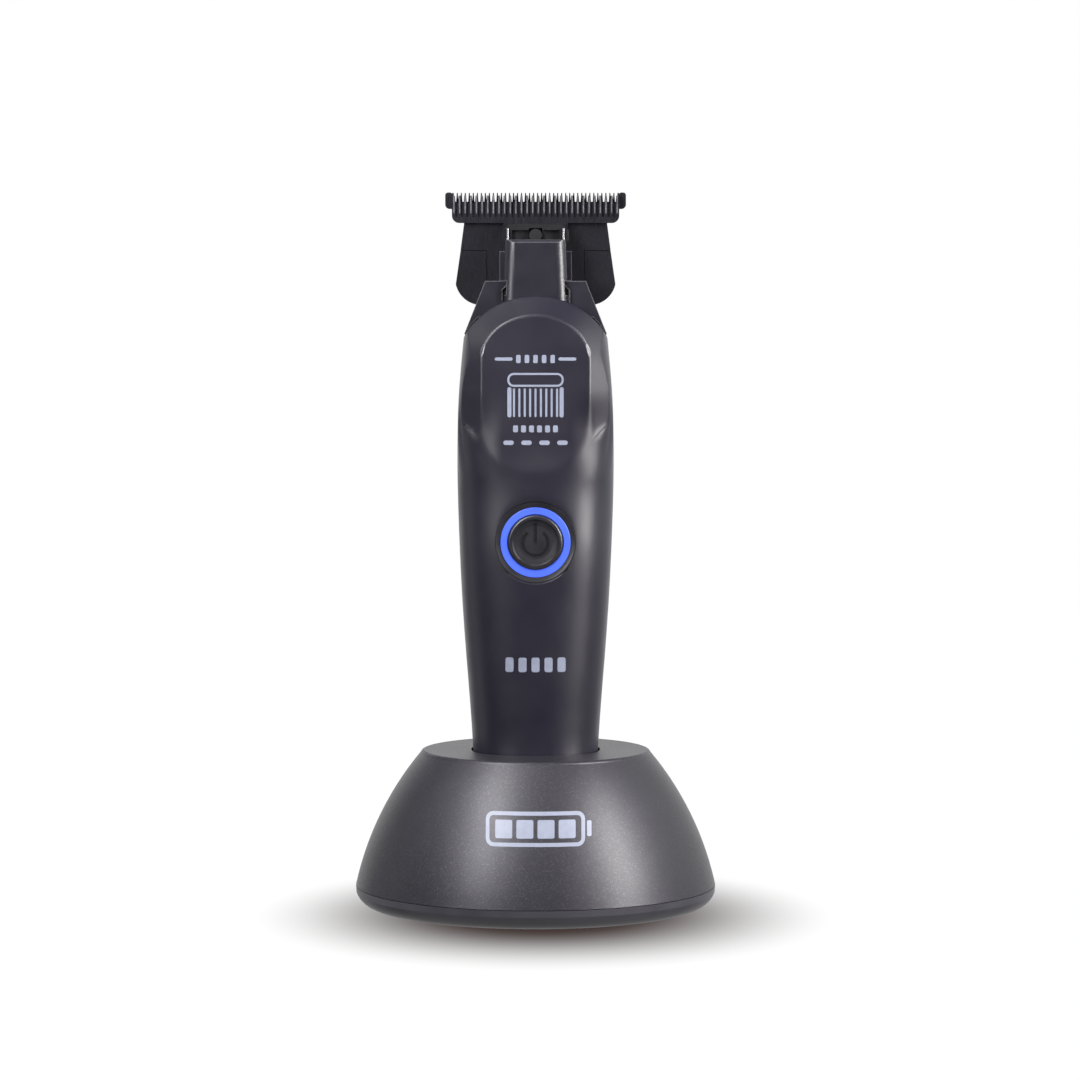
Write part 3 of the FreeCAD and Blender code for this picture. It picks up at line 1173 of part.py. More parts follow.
failed = [piece.Name for piece in doc.Objects if {"Invalid", "Error"} & set(piece.State)]
if failed:
    raise SystemExit(f"features that failed: {failed}")
os.makedirs("parts", exist_ok=True)
for label, piece in PARTS.items():
    shape = piece.Shape
    if shape.isNull() or not shape.isValid() or not shape.Solids:
        raise SystemExit(f"{label} has no valid solid")
for label, piece in PARTS.items():
    piece.Shape.exportStep(f"parts/{label}.step")
    print(f"{label}: {len(piece.Shape.Solids)} solid(s), {piece.Shape.Volume:.1f} mm3")
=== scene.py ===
"""Looks of the hair clipper in its charging dock: finishes, printed marks, studio and camera.

Metres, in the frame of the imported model: +Z up, the clipper's front faces -Y.
"""
import json
import math

import bmesh
import bpy
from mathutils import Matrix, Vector
from mathutils.bvhtree import BVHTree


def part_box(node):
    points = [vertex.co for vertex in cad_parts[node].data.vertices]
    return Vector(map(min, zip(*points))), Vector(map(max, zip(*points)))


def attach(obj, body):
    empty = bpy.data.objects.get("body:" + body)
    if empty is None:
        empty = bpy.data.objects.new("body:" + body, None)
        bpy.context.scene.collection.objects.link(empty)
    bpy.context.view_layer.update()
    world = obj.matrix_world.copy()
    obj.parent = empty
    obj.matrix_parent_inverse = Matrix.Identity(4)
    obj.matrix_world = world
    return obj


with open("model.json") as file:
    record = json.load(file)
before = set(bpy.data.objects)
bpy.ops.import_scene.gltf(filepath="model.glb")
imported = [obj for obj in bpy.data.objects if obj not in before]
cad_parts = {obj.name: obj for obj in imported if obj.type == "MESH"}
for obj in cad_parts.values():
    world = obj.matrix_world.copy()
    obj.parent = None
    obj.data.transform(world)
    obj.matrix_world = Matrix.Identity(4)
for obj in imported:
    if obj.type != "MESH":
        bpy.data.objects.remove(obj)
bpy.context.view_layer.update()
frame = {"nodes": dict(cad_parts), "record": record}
MM = 0.001

# ---------------------------------------------------------------- camera
CAMERA_DISTANCE = 0.996
CAMERA_HEIGHT = 0.1545
CAMERA_AIM = 0.0918
CAMERA_SIDE = 0.0011
SENSOR_WIDTH = 36.0
LENS_LENGTH = 133.3


def aimed(thing, place, target):
    """Puts a light or the camera at a place, turned to look at a target."""
    thing.location = place
    thing.rotation_euler = (Vector(target) - Vector(place)).to_track_quat("-Z", "Y").to_euler()
    bpy.context.scene.collection.objects.link(thing)
    return thing


def make_camera():
    """The photograph's long lens, about a metre away and a little above the clipper's middle."""
    data = bpy.data.cameras.new("camera")
    data.sensor_width = SENSOR_WIDTH
    data.lens = LENS_LENGTH
    data.clip_start = 0.05
    data.clip_end = 20.0
    place = (CAMERA_SIDE, -CAMERA_DISTANCE, CAMERA_HEIGHT)
    camera = aimed(bpy.data.objects.new("camera", data), place, (CAMERA_SIDE, 0, CAMERA_AIM))
    bpy.context.scene.camera = camera


# ---------------------------------------------------------------- studio
FLOOR_RADIUS = 0.9
LIGHTS_AIM = (0, 0, 0.09)
# name, azimuth from the camera towards +X, elevation, distance, width, height, power, tint
SOFTBOXES = [
    ("right_box", 60, 20, 0.42, 0.15, 0.32, 4.4, (1.0, 0.98, 0.97)),
    ("left_box", -51, 54, 1.0, 0.28, 0.42, 8.5, (1.0, 1.0, 1.0)),
    ("left_low", -37, 27, 0.4, 0.12, 0.25, 1.9, (0.97, 0.97, 1.0)),
    ("left_high", -95, 36, 1.0, 0.3, 0.35, 0.65, (1.0, 1.0, 1.0)),
    ("left_wall", -104, -6, 1.0, 0.5, 0.8, 0.8, (1.0, 1.0, 1.0)),
    ("right_wall", 112, 18, 1.0, 0.8, 1.1, 2.4, (0.95, 1.0, 0.98)),
    ("overhead", -10, 80, 0.9, 0.5, 0.5, 1.2, (1.0, 1.0, 1.0)),
]
# the steps of the world's strength in reflections: each one's first and last value, and the part
# of the direction where it starts and ends (Y is away from the camera, Z is up)
BACKDROP = (0.0, 0.95, 0.52, 0.94)
ROOM = (0.02, 0.26, -0.3, 0.25)
TABLE = (0.7, 0.0, -0.85, -0.5)


def softbox(name, azimuth, elevation, distance, width, height, power, tint):
    """A rectangular light turned to the clipper, placed by its direction and distance."""
    data = bpy.data.lights.new(name, "AREA")
    data.shape = "RECTANGLE"
    data.size = width
    data.size_y = height
    data.energy = power
    data.color = tint
    across, up = math.radians(azimuth), math.radians(elevation)
    level = distance * math.cos(up)
    aim = Vector(LIGHTS_AIM)
    place = aim + Vector((level * math.sin(across), -level * math.cos(across),
                          distance * math.sin(up)))
    aimed(bpy.data.objects.new(name, data), place, aim)


def ramp(tree, value, low, high, first, last):
    """A smooth step from low to high as a value goes from first to last."""
    node = tree.nodes.new("ShaderNodeMapRange")
    node.interpolation_type = "SMOOTHSTEP"
    for socket, number in (("From Min", first), ("From Max", last), ("To Min", low), ("To Max", high)):
        node.inputs[socket].default_value = number
    tree.links.new(value, node.inputs["Value"])
    return node.outputs["Result"]


def make_world():
    """White where the camera looks; in reflections a white backdrop, a dim room and the table's glow."""
    world = bpy.data.worlds.new("studio")
    bpy.context.scene.world = world
    world.use_nodes = True
    tree = world.node_tree
    parts = tree.nodes.new("ShaderNodeSeparateXYZ")
    tree.links.new(tree.nodes.new("ShaderNodeTexCoord").outputs["Generated"], parts.inputs[0])
    reflected = ramp(tree, parts.outputs["Z"], *ROOM)
    for step in (ramp(tree, parts.outputs["Z"], *TABLE), ramp(tree, parts.outputs["Y"], *BACKDROP)):
        together = tree.nodes.new("ShaderNodeMath")
        tree.links.new(reflected, together.inputs[0])
        tree.links.new(step, together.inputs[1])
        reflected = together.outputs[0]
    seen = tree.nodes.new("ShaderNodeMix")
    tree.links.new(tree.nodes.new("ShaderNodeLightPath").outputs["Is Camera Ray"], seen.inputs["Factor"])
    tree.links.new(reflected, seen.inputs["A"])
    seen.inputs["B"].default_value = 1.0
    tree.links.new(seen.outputs["Result"], tree.nodes["Background"].inputs["Strength"])
    tree.nodes["Background"].inputs["Color"].default_value = (1, 1, 1, 1)


SHADOW_CENTRE = (0.002, -0.014)
SHADOW_STRETCH = 1.18        # how much longer the shadow is towards the camera than across
SHADOW_DARK = 0.021          # radius where it is darkest
SHADOW_CLEAR = 0.0755        # radius where the white floor is clear of it
SHADOW_TONE = (0.06, 0.042, 0.038, 1)
FLOOR_TONE = (1.02, 1.02, 1.02, 1)


def make_floor():
    """White paper that glows like the backdrop, with the soft warm shadow under the dock."""
    mesh = bpy.data.meshes.new("floor")
    shape = bmesh.new()
    bmesh.ops.create_circle(shape, cap_ends=True, segments=96, radius=FLOOR_RADIUS)
    shape.to_mesh(mesh)
    floor = bpy.data.objects.new("floor", mesh)
    bpy.context.scene.collection.objects.link(floor)
    material = bpy.data.materials.new("floor_paper")
    material.use_nodes = True
    tree = material.node_tree
    shader = tree.nodes["Principled BSDF"]
    placed = tree.nodes.new("ShaderNodeMapping")
    tree.links.new(tree.nodes.new("ShaderNodeTexCoord").outputs["Object"], placed.inputs["Vector"])
    placed.inputs["Location"].default_value = (-SHADOW_CENTRE[0], -SHADOW_CENTRE[1] / SHADOW_STRETCH, 0)
    placed.inputs["Scale"].default_value = (1, 1 / SHADOW_STRETCH, 1)
    radius = tree.nodes.new("ShaderNodeVectorMath")
    radius.operation = "LENGTH"
    tree.links.new(placed.outputs[0], radius.inputs[0])
    light = ramp(tree, radius.outputs["Value"], 0.0, 1.0, SHADOW_DARK, SHADOW_CLEAR)
    tone = tree.nodes.new("ShaderNodeMix")
    tone.data_type = "RGBA"
    tree.links.new(light, tone.inputs["Factor"])
    tone.inputs["A"].default_value = SHADOW_TONE
    tone.inputs["B"].default_value = FLOOR_TONE
    tree.links.new(tone.outputs[2], shader.inputs["Emission Color"])
    shader.inputs["Emission Strength"].default_value = 1.0
    shader.inputs["Base Color"].default_value = (0, 0, 0, 1)
    shader.inputs["Roughness"].default_value = 1.0
    shader.inputs["Specular IOR Level"].default_value = 0.0
    mesh.materials.append(material)
    floor.visible_glossy = False
    floor.visible_diffuse = False
    floor.visible_shadow = False


def make_studio():
    """The world, the floor and the lights."""
    make_world()
    make_floor()
    for box in SOFTBOXES:
        softbox(*box)
    bpy.context.scene.view_settings.view_transform = "Standard"


# ---------------------------------------------------------------- material graph
EDGE_MATCH = (0.965, 0.995)      # how alike a surface and its rounding are at an edge and off it


class Finish:
    """A procedural material: its node tree, and short ways to add the nodes that finishes share."""

    def __init__(self, name, colour, roughness, metallic=0.0):
        self.material = bpy.data.materials.new(name)
        self.material.use_nodes = True
        self.nodes = self.material.node_tree.nodes
        self.links = self.material.node_tree.links
        self.shader = self.nodes["Principled BSDF"]
        self.colour = colour
        self.put("Base Color", (*colour, 1))
        self.put("Roughness", roughness)
        self.put("Metallic", metallic)
        self.place = self.nodes.new("ShaderNodeTexCoord").outputs["Object"]

    def put(self, socket, value):
        """Sets a socket of the shader, or links it."""
        if isinstance(value, bpy.types.NodeSocket):
            self.links.new(value, self.shader.inputs[socket])
        else:
            self.shader.inputs[socket].default_value = value

    def add(self, kind, inputs, **settings):
        """Adds a node with its settings, and sets or links its inputs."""
        node = self.nodes.new(kind)
        for key, value in settings.items():
            setattr(node, key, value)
        for socket, value in inputs.items():
            if isinstance(value, bpy.types.NodeSocket):
                self.links.new(value, node.inputs[socket])
            else:
                node.inputs[socket].default_value = value
        return node

    def stretched(self, scale):
        """The object's own coordinates, scaled along each axis."""
        return self.add("ShaderNodeMapping", {"Vector": self.place, "Scale": scale}).outputs[0]

    def noise(self, grain, detail=3.0, where=None):
        """Noise whose features are about this many millimetres across."""
        inputs = {"Vector": where or self.place, "Scale": 1 / (grain * MM), "Detail": detail}
        return self.add("ShaderNodeTexNoise", inputs).outputs["Fac"]

    def cells(self, size):
        """Cells about this many millimetres across: their distances and colours."""
        inputs = {"Vector": self.place, "Scale": 1 / (size * MM)}
        return self.add("ShaderNodeTexVoronoi", inputs).outputs

    def spread(self, value, low, high, first=0.3, last=0.7, smooth=False):
        """Maps a factor between first and last to the range from low to high."""
        inputs = {"Value": value, "From Min": first, "From Max": last, "To Min": low, "To Max": high}
        kind = "SMOOTHSTEP" if smooth else "LINEAR"
        return self.add("ShaderNodeMapRange", inputs, interpolation_type=kind).outputs["Result"]

    def blend(self, factor, one, other):
        """Mixes two colours."""
        node = self.add("ShaderNodeMix", {}, data_type="RGBA")
        self.links.new(factor, node.inputs[0])
        for number, colour in ((6, one), (7, other)):
            if isinstance(colour, bpy.types.NodeSocket):
                self.links.new(colour, node.inputs[number])
            else:
                node.inputs[number].default_value = (*colour, 1)
        return node.outputs[2]

    def maths(self, operation, one, other=0.0):
        return self.add("ShaderNodeMath", {0: one, 1: other}, operation=operation).outputs[0]

    def times(self, first, *others):
        """The product of several factors."""
        for other in others:
            first = self.maths("MULTIPLY", first, other)
        return first

    def along(self, axis):
        """One coordinate of the surface, in metres."""
        return self.add("ShaderNodeSeparateXYZ", {0: self.place}).outputs[axis]

    def edges(self, radius):
        """One along sharp edges and nothing on flat faces, within a radius in millimetres."""
        rounded = self.add("ShaderNodeBevel", {"Radius": radius * MM}, samples=8).outputs["Normal"]
        own = self.add("ShaderNodeTexCoord", {}).outputs["Normal"]
        match = self.add("ShaderNodeVectorMath", {0: rounded, 1: own}, operation="DOT_PRODUCT")
        return self.spread(match.outputs["Value"], 1.0, 0.0, *EDGE_MATCH)

    def bump(self, height, depth, strength=1.0, under=None):
        """Relief of a given depth in millimetres."""
        inputs = {"Height": height, "Distance": depth * MM, "Strength": strength}
        if under is not None:
            inputs["Normal"] = under
        result = self.add("ShaderNodeBump", inputs).outputs["Normal"]
        self.put("Normal", result)
        return result

    def shaded(self, grain, dark, light):
        """Varies the colour softly between darker and lighter shares of itself."""
        cloud = self.noise(grain)
        shares = [tuple(c * share for c in self.colour) for share in (dark, light)]
        self.put("Base Color", self.blend(self.spread(cloud, 0.0, 1.0), *shares))
        return cloud


def moulded(name, colour, roughness, grain=0.16, relief=0.004, cloud=9.0):
    """Moulded plastic: a fine spark-eroded texture and slightly uneven gloss."""
    finish = Finish(name, colour, roughness)
    uneven = finish.shaded(cloud, 0.85, 1.18)
    finish.put("Roughness", finish.spread(uneven, roughness - 0.03, roughness + 0.04))
    finish.bump(finish.noise(grain, 2.0), relief)
    return finish


# spans of the front housing over which its finish changes, metres (Z is up, the front is at -Y)
FRONT_FACE = (-0.011, -0.007)
CREASES_BELOW = (0.117, 0.127)
CREASES_ABOVE = (0.085, 0.098)
CREASE_RADII = (0.5 * MM, 3.2 * MM)      # off the panel's foot, and at it
FOLD_ACROSS = (0.008, 0.015)
FOLD_RISE = (0.107, 0.119)
FOLD_FALL = (0.119, 0.13)
FOLD_DEPTH = 1.1                         # millimetres
BORDER_FOOT = (0.12, 0.124)
BORDER_ARCH = (0.141, 0.147)
BORDER_REACH = (0.0147, 0.0153)


def housing():
    """Soft satin coating on the shell, its creases eased as paint and moulding ease them."""
    finish = moulded("housing_plastic", (0.0062, 0.0052, 0.0115), 0.4, 0.2, 0.0008)
    up, side = finish.along("Z"), finish.maths("ABSOLUTE", finish.along("X"))
    front = finish.spread(finish.along("Y"), 1.0, 0.0, *FRONT_FACE)
    soft = finish.times(finish.spread(up, 1.0, 0.0, *CREASES_BELOW),
                        finish.spread(up, 0.0, 1.0, *CREASES_ABOVE), front)
    radius = finish.spread(soft, *CREASE_RADII, 0.0, 1.0)
    eased = finish.add("ShaderNodeBevel", {"Radius": radius}, samples=8).outputs["Normal"]
    # the panel's lower corners run out into the body in a shallow fold on each side
    fold = finish.times(finish.spread(side, 0.0, 1.0, *FOLD_ACROSS, smooth=True),
                        finish.spread(up, 0.0, 1.0, *FOLD_RISE, smooth=True),
                        finish.spread(up, 1.0, 0.0, *FOLD_FALL, smooth=True), front)
    folded = finish.bump(finish.maths("SUBTRACT", 1.0, fold), FOLD_DEPTH, 1.0, eased)
    finish.bump(finish.noise(0.2, 2.0), 0.0008, 1.0, folded)
    # painted highlight: a paler colour along the rounded edge of the panel's border
    painted_crest_highlight = finish.times(finish.edges(0.5), front, finish.spread(up, 0.0, 1.0, *BORDER_FOOT),
                         finish.spread(up, 1.0, 0.15, *BORDER_ARCH),
                         finish.spread(side, 1.0, 0.0, *BORDER_REACH))
    finish.put("Base Color", finish.blend(painted_crest_highlight, finish.colour, (0.5, 0.49, 0.52)))
    return finish


def dull(name, colour):
    """Matt unpainted moulding of the inner pieces."""
    finish = moulded(name, colour, 0.62, 0.22, 0.004, 4.0)
    finish.put("Specular IOR Level", 0.22)
    return finish


def neck():
    """The satin of the neck, with a painted highlight along its edges."""
    finish = moulded("neck_plastic", (0.0065, 0.0056, 0.0105), 0.36, 0.25, 0.0015, 5.0)
    # painted highlight: a paler colour along the neck's edges
    finish.put("Base Color", finish.blend(finish.edges(0.4), finish.colour, (0.07, 0.068, 0.078)))
    return finish


FLECK_SIZE = 0.17      # millimetres
FLECK_START = 0.82     # the share of the flakes that stays dull


def flecked(name, colour, fleck_colour, roughness):
    """Satin paint with a fine metallic fleck: small flakes, some of them bright."""
    finish = Finish(name, colour, roughness)
    flakes = finish.cells(FLECK_SIZE)
    level = finish.add("ShaderNodeSeparateXYZ", {0: flakes["Color"]}).outputs["X"]
    chosen = finish.spread(level, 0.0, 1.0, FLECK_START, 1.0)
    cloud = finish.noise(14.0)
    ground = finish.blend(finish.spread(cloud, 0.0, 1.0), [c * 0.85 for c in colour],
                          [c * 1.15 for c in colour])
    finish.put("Base Color", finish.blend(chosen, ground, fleck_colour))
    finish.put("Metallic", finish.spread(chosen, 0.25, 0.9, 0.0, 1.0))
    finish.put("Roughness", finish.spread(finish.noise(0.5), roughness - 0.04, roughness + 0.05))
    finish.put("Coat Weight", 0.1)
    finish.put("Coat Roughness", 0.32)
    finish.bump(level, 0.012, 0.5)
    return finish


def metal(name, colour, roughness, lines=(1, 1, 1), grain=0.3, relief=0.003):
    """Metal with fine drawn or ground lines along the axis whose scale is smallest."""
    finish = Finish(name, colour, roughness, 1.0)
    brushed = finish.noise(grain, 4.0, finish.stretched(lines))
    shares = [tuple(c * share for c in colour) for share in (0.8, 1.1)]
    finish.put("Base Color", finish.blend(finish.spread(brushed, 0.0, 1.0), *shares))
    finish.put("Roughness", finish.spread(brushed, roughness - 0.05, roughness + 0.08))
    finish.bump(brushed, relief)
    return finish


RIB_PITCH = 1.4        # millimetres
RIB_LENGTH = 4.6       # millimetres
RIB_LINE = 0.14        # half width of the pale line along each rib, bare steel with a painted highlight, as a share of the pitch


def blade_steel():
    """Black-coated steel; on the cutter's face a thin pale line runs along each rib's ridge: ground bare
    steel with a painted highlight.
    """
    finish = metal("black_steel", (0.035, 0.035, 0.042), 0.34, (1, 1, 0.08), 0.25, 0.002)
    finish.put("Metallic", 0.85)
    low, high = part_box("cutter_blade")
    on_face = finish.maths("LESS_THAN", finish.along("Y"), low.y + 0.02 * MM)
    foot = high.z - RIB_LENGTH * MM
    ribs = finish.spread(finish.along("Z"), 0.0, 1.0, foot, foot + 0.5 * MM)
    turn = finish.maths("DIVIDE", finish.along("X"), RIB_PITCH * MM)
    nearest = finish.maths("ABSOLUTE", finish.maths("SUBTRACT", turn, finish.maths("ROUND", turn)))
    ridge = finish.spread(nearest, 0.0, 1.0, 0.5 - RIB_LINE, 0.5 - RIB_LINE * 0.4)
    streaks = finish.spread(finish.noise(0.5, 3.0), 0.5, 1.0)
    # painted highlight and bare ground steel: a thin pale line along the middle of each rib's ridge
    bright = finish.times(on_face, ribs, ridge, streaks)
    ground = finish.blend(finish.noise(0.6), (0.022, 0.022, 0.028), (0.038, 0.038, 0.046))
    finish.put("Base Color", finish.blend(bright, ground, (0.34, 0.34, 0.37)))
    return finish


def spring_wire():
    """Drawn wire, pale at its tips and darker down inside the neck with painted shade."""
    finish = metal("spring_steel", (0.25, 0.25, 0.265), 0.3, (1, 1, 0.1), 0.15, 0.001)
    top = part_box("blade_spring")[1].z
    out_of_painted_shade = finish.spread(finish.along("Z"), 0.0, 1.0, top - 9 * MM, top - 7 * MM)
    # painted shade: darker colour on the wire from a little below its tips down inside the neck
    finish.put("Base Color", finish.blend(out_of_painted_shade, (0.03, 0.03, 0.034), (0.16, 0.16, 0.17)))
    finish.put("Roughness", finish.spread(out_of_painted_shade, 0.45, 0.25, 0.0, 1.0))
    return finish


def rubber():
    """Matt rubber of the foot."""
    finish = moulded("dock_rubber", (0.02, 0.02, 0.021), 0.75, 0.3, 0.01)
    finish.put("Specular IOR Level", 0.3)
    return finish


def ring_light():
    """The lit diffuser: brightest beside the lamps behind it."""
    finish = Finish("light_guide", (0.01, 0.03, 0.2), 0.4)
    low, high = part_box("light_ring")
    centre = (low + high) / 2
    across = finish.maths("SUBTRACT", finish.along("X"), centre.x)
    up = finish.maths("SUBTRACT", finish.along("Z"), centre.z)
    corner = finish.maths("ABSOLUTE", finish.times(across, up))
    half = (high.x - low.x) / 2
    glow = finish.spread(corner, 0.92, 1.08, 0.0, half * half / 2)
    cloud = finish.spread(finish.noise(2.0), 0.97, 1.03)
    finish.put("Emission Color", (0.075, 0.135, 0.82, 1))
    finish.put("Emission Strength", finish.times(glow, cloud))
    return finish


def windings():
    """Enamelled copper wire wound side by side."""
    finish = Finish("copper", (0.5, 0.2, 0.07), 0.3, 1.0)
    turns = finish.add("ShaderNodeTexWave", {"Vector": finish.place, "Scale": 1 / (0.9 * MM),
                                             "Distortion": 0.6},
                       bands_direction="Z").outputs["Fac"]
    finish.put("Base Color", finish.blend(turns, (0.2, 0.07, 0.02), (0.62, 0.27, 0.1)))
    finish.put("Roughness", finish.spread(turns, 0.5, 0.26, 0.0, 1.0))
    finish.bump(turns, 0.12)
    return finish


def circuit():
    """Green solder mask over copper tracks and plated vias."""
    finish = Finish("circuit_green", (0.012, 0.09, 0.035), 0.32)
    bricks = finish.add("ShaderNodeTexBrick", {
        "Vector": finish.stretched((1, 1, 0.45)), "Scale": 1 / (2.4 * MM), "Mortar Size": 0.1,
        "Color1": (0, 0, 0, 1), "Color2": (0, 0, 0, 1), "Mortar": (1, 1, 1, 1)})
    track = bricks.outputs["Color"]
    masked = finish.blend(track, (0.008, 0.07, 0.025), (0.03, 0.17, 0.07))
    via = finish.maths("LESS_THAN", finish.cells(1.9)["Distance"], 0.16)
    finish.put("Base Color", finish.blend(via, masked, (0.75, 0.68, 0.5)))
    finish.put("Metallic", via)
    finish.put("Roughness", finish.spread(finish.noise(1.2), 0.26, 0.4))
    finish.bump(track, 0.03)
    return finish


def lamp_body():
    """Milky moulded housing of a small lamp."""
    finish = moulded("led_body", (0.72, 0.72, 0.66), 0.35, 0.3, 0.004, 1.0)
    finish.put("Subsurface Weight", 0.15)
    return finish


def wrapped_cell():
    """Shrink wrap over the cell, with long soft wrinkles and a paler band near one end."""
    finish = Finish("cell_wrap", (0.03, 0.12, 0.24), 0.28)
    wrinkles = finish.noise(3.0, 4.0, finish.stretched((1, 1, 0.15)))
    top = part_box("battery_cell")[1].z
    band = finish.maths("GREATER_THAN", finish.along("Z"), top - 9 * MM)
    wrap = finish.blend(finish.spread(wrinkles, 0.0, 1.0), (0.02, 0.09, 0.19), (0.045, 0.16, 0.3))
    finish.put("Base Color", finish.blend(band, wrap, (0.55, 0.57, 0.6)))
    finish.bump(wrinkles, 0.06)
    finish.put("Coat Weight", 0.5)
    return finish


def nickel():
    """Nickel strip with the pits of its spot welds."""
    finish = metal("nickel", (0.6, 0.58, 0.52), 0.35, (0.1, 1, 1))
    weld = finish.cells(1.6)["Distance"]
    finish.bump(finish.spread(weld, 0.0, 1.0, 0.05, 0.3), 0.08)
    return finish


def sleeve():
    """Red insulation of the battery leads."""
    finish = moulded("wire_sleeve", (0.35, 0.02, 0.015), 0.5, 0.4, 0.01, 3.0)
    finish.put("Sheen Weight", 0.2)
    return finish


FINISHES = {
    "dock_plastic": lambda: flecked("dock_plastic", (0.0098, 0.0087, 0.0142), (0.068, 0.065, 0.074), 0.45),
    "dock_base_plastic": lambda: moulded("dock_base_plastic", (0.032, 0.031, 0.039), 0.46, 0.25, 0.0015),
    "dock_rubber": rubber,
    "housing_plastic": housing,
    "neck_plastic": neck,
    "button_plastic": lambda: moulded("button_plastic", (0.009, 0.0085, 0.011), 0.36, 0.2, 0.0015, 4.0),
    "light_guide": ring_light,
    "carrier_plastic": lambda: dull("carrier_plastic", (0.004, 0.004, 0.005)),
    "black_steel": blade_steel,
    "steel": lambda: metal("steel", (0.55, 0.55, 0.57), 0.27, (1, 1, 0.2)),
    "spring_steel": spring_wire,
    "motor_metal": lambda: metal("motor_metal", (0.42, 0.42, 0.43), 0.3, (0.15, 0.15, 1)),
    "copper": windings,
    "contact_gold": lambda: metal("contact_gold", (0.85, 0.6, 0.22), 0.2, (1, 1, 0.3)),
    "magnet": lambda: metal("magnet", (0.12, 0.12, 0.13), 0.5, grain=0.2, relief=0.01),
    "circuit_green": circuit,
    "chip_black": lambda: moulded("chip_black", (0.022, 0.022, 0.024), 0.6, 0.12, 0.008, 2.0),
    "led_body": lamp_body,
    "cell_wrap": wrapped_cell,
    "nickel": nickel,
    "inner_plastic": lambda: dull("inner_plastic", (0.007, 0.007, 0.008)),
    "wire_sleeve": sleeve,
}


def dress_nodes():
    """Gives every CAD node the finish of its slot in the record."""
    made = {slot: build().material for slot, build in FINISHES.items()}
    for part in frame["record"]["subparts"]:
        node = frame["nodes"][part["node"]]
        if not node.material_slots:
            node.data.materials.append(None)
        for holder in node.material_slots:
            holder.material = made[part["material_slot"]]


# ---------------------------------------------------------------- softened edges
SOFT_EDGES = {"head_frame": 0.3, "neck_cover": 0.7}      # width of each node's softening, millimetres
SHARP_ANGLE = 32       # degrees


def soften(node_name, width):
    """Rounds a flat-faced node's sharp edges by a small width, in millimetres."""
    node = frame["nodes"][node_name]
    weld = node.modifiers.new("weld", "WELD")
    weld.merge_threshold = 0.002 * MM       # joins neighbouring faces along their shared edges
    flat = node.modifiers.new("flat_faces", "DECIMATE")
    flat.decimate_type = "DISSOLVE"
    flat.angle_limit = math.radians(0.8)    # joins the triangles of each flat face
    bevel = node.modifiers.new("edges", "BEVEL")
    bevel.width = width * MM
    bevel.segments = 2
    bevel.limit_method = "ANGLE"
    bevel.angle_limit = math.radians(SHARP_ANGLE)
    bevel.harden_normals = True


# ---------------------------------------------------------------- printed marks
PRINT_LIFT = 0.02      # how far a print stands proud of the surface, millimetres
PRINT_STEP = 0.6       # the longest edge of a print's faces, millimetres


def bar(x, z, width, height, corner=None):
    """A rounded bar about its centre, as one outline."""
    corner = min(width, height) / 2 if corner is None else corner
    outline = []
    for turn, side_x, side_z in ((0, 1, 1), (1, -1, 1), (2, -1, -1), (3, 1, -1)):
        centre_x = x + side_x * (width / 2 - corner)
        centre_z = z + side_z * (height / 2 - corner)
        for step in range(5):
            angle = math.pi / 2 * (turn + step / 4)
            outline.append((centre_x + corner * math.cos(angle), centre_z + corner * math.sin(angle)))
    return outline


def row(count, pitch, z, *size):
    """Bars of one size side by side about the middle, as outlines."""
    return [bar((number - (count - 1) / 2) * pitch, z, *size) for number in range(count)]


def stroke(points, width, closed=False):
    """A line of constant width through the points, as one outline for each run."""
    count = len(points)
    sides = []
    for number, (x, z) in enumerate(points):
        before = points[number - 1] if number or closed else points[0]
        after = points[(number + 1) % count] if number + 1 < count or closed else points[-1]
        first = Vector((x - before[0], z - before[1]))
        last = Vector((after[0] - x, after[1] - z))
        along = (first.normalized() + last.normalized()).normalized()
        mitre = max(0.4, along.dot((last if last.length else first).normalized()))
        across = Vector((-along.y, along.x)) * (width / 2 / mitre)
        sides.append(((x + across.x, z + across.y), (x - across.x, z - across.y)))
    runs = zip(sides, sides[1:] + sides[:1]) if closed else zip(sides, sides[1:])
    return [[a[0], a[1], b[1], b[0]] for a, b in runs]


def arc(x, z, radius, start, end, steps):
    """Points along an arc from one angle to another, in degrees from +X."""
    angles = [math.radians(start + (end - start) * step / steps) for step in range(steps + 1)]
    return [(x + radius * math.cos(angle), z + radius * math.sin(angle)) for angle in angles]


def printed(name, outlines, on_node, body, slot, material, lift=PRINT_LIFT):
    """Lays outlines, in millimetres across and up, on the front of a CAD node as a thin piece."""
    node = frame["nodes"][on_node]
    surface = BVHTree.FromObject(node, bpy.context.evaluated_depsgraph_get())
    shape = bmesh.new()
    for outline in outlines:
        shape.faces.new([shape.verts.new((x * MM, -1.0, z * MM)) for x, z in outline])
    bmesh.ops.remove_doubles(shape, verts=shape.verts, dist=0.01 * MM)
    bmesh.ops.triangulate(shape, faces=shape.faces)
    for _ in range(6):
        long_edges = [e for e in shape.edges if e.calc_length() > PRINT_STEP * MM]
        if not long_edges:
            break
        bmesh.ops.subdivide_edges(shape, edges=long_edges, cuts=1)
        bmesh.ops.triangulate(shape, faces=shape.faces)
    for vertex in shape.verts:
        place, normal, _, _ = surface.ray_cast(vertex.co, Vector((0, 1, 0)))
        vertex.co = place + normal * lift * MM
    bmesh.ops.recalc_face_normals(shape, faces=shape.faces)
    for face in shape.faces:
        if face.normal.y > 0:
            face.normal_flip()
    mesh = bpy.data.meshes.new(name)
    shape.to_mesh(mesh)
    mesh.materials.append(material)
    piece = bpy.data.objects.new(name, mesh)
    bpy.context.scene.collection.objects.link(piece)
    thick = piece.modifiers.new("thickness", "SOLIDIFY")
    thick.thickness = lift * MM * 0.9
    thick.offset = -1
    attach(piece, body)


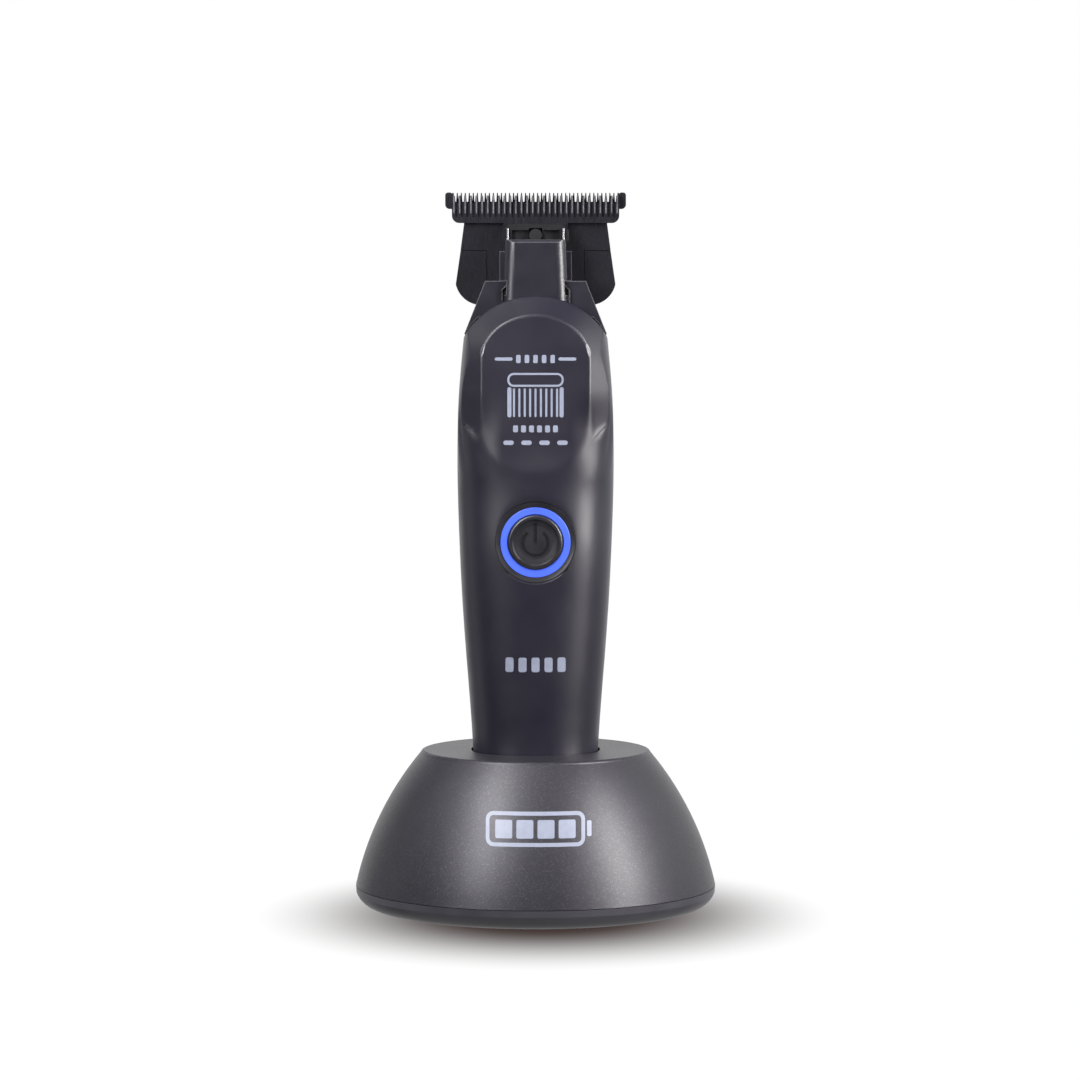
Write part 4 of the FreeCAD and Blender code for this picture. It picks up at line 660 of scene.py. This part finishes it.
def ink():
    """Pad-printed light grey-blue ink, very slightly uneven."""
    finish = Finish("print_ink", (0.17, 0.186, 0.24), 0.45)
    finish.shaded(1.5, 0.93, 1.06)
    finish.bump(finish.noise(0.1, 2.0), 0.002)
    return finish.material


def dark_gloss():
    """Dark gloss of the raised mark on the button."""
    finish = Finish("button_mark", (0.005, 0.005, 0.006), 0.3)
    finish.shaded(0.8, 0.85, 1.15)
    return finish.material


def comb(z, width, height):
    """A comb seen from the side, drawn in thin lines: a rounded back over a row of teeth."""
    line, back = 0.5, 3.4
    outline = bar(0.0, z + (height - back) / 2, width - line, back - line, 1.3)
    teeth = row(9, 1.32, z - back / 2 - 0.1, 0.5, height - back - 0.6, 0.24)
    ends = row(2, width - 1.0, z - back / 2, 1.0, height - back - 0.2, 0.45)
    return [*stroke(outline, line, closed=True), *teeth, *ends]


def battery(z, width, height):
    """A battery seen from the side, with its charge as bars."""
    line = 0.9
    case = stroke(bar(0.0, z, width - line, height - line, 1.4), line, closed=True)
    nub = bar(width / 2 + 1.0, z, 1.1, height * 0.45, 0.3)
    pitch = (width - 4 * line) / 4
    charge = row(4, pitch, z, pitch - 1.0, height - 4.2 * line, 0.4)
    return [*case, nub, *charge]


def make_marks():
    """The generic marks that stand in for the lettering, and the button's power symbol."""
    paint = ink()
    on_housing = ("front_housing", "clipper", "housing_plastic", paint)
    scale = row(2, 15.6, 137.2, 4.4, 0.8, 0.4) + row(5, 2.1, 137.2, 1.1, 2.0, 0.3)
    printed("mark_scale", scale, *on_housing)
    printed("mark_comb", comb(128.3, 13.8, 11.0), *on_housing)
    lines = row(6, 1.96, 120.1, 1.2, 1.7, 0.3) + row(4, 4.4, 116.7, 2.6, 1.1)
    printed("mark_lines", lines, *on_housing)
    printed("mark_charge", row(5, 3.2, 62.0, 2.0, 3.6, 0.5), *on_housing)
    printed("mark_battery", battery(24.3, 24.0, 8.0), "dock_shell", "dock", "dock_plastic", paint)
    low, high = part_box("power_button")
    x, z = (low.x + high.x) / 2 / MM, (low.z + high.z) / 2 / MM
    symbol = stroke(arc(x, z, 3.1, 128, 412, 30), 0.6)
    symbol += stroke([(x, z), (x, z + 4.9)], 0.6)
    printed("power_symbol", symbol, "power_button", "button", "button_plastic", dark_gloss(), 0.1)


# ---------------------------------------------------------------- making
make_camera()
make_studio()
dress_nodes()
for part_name, softened_width in SOFT_EDGES.items():
    soften(part_name, softened_width)
make_marks()
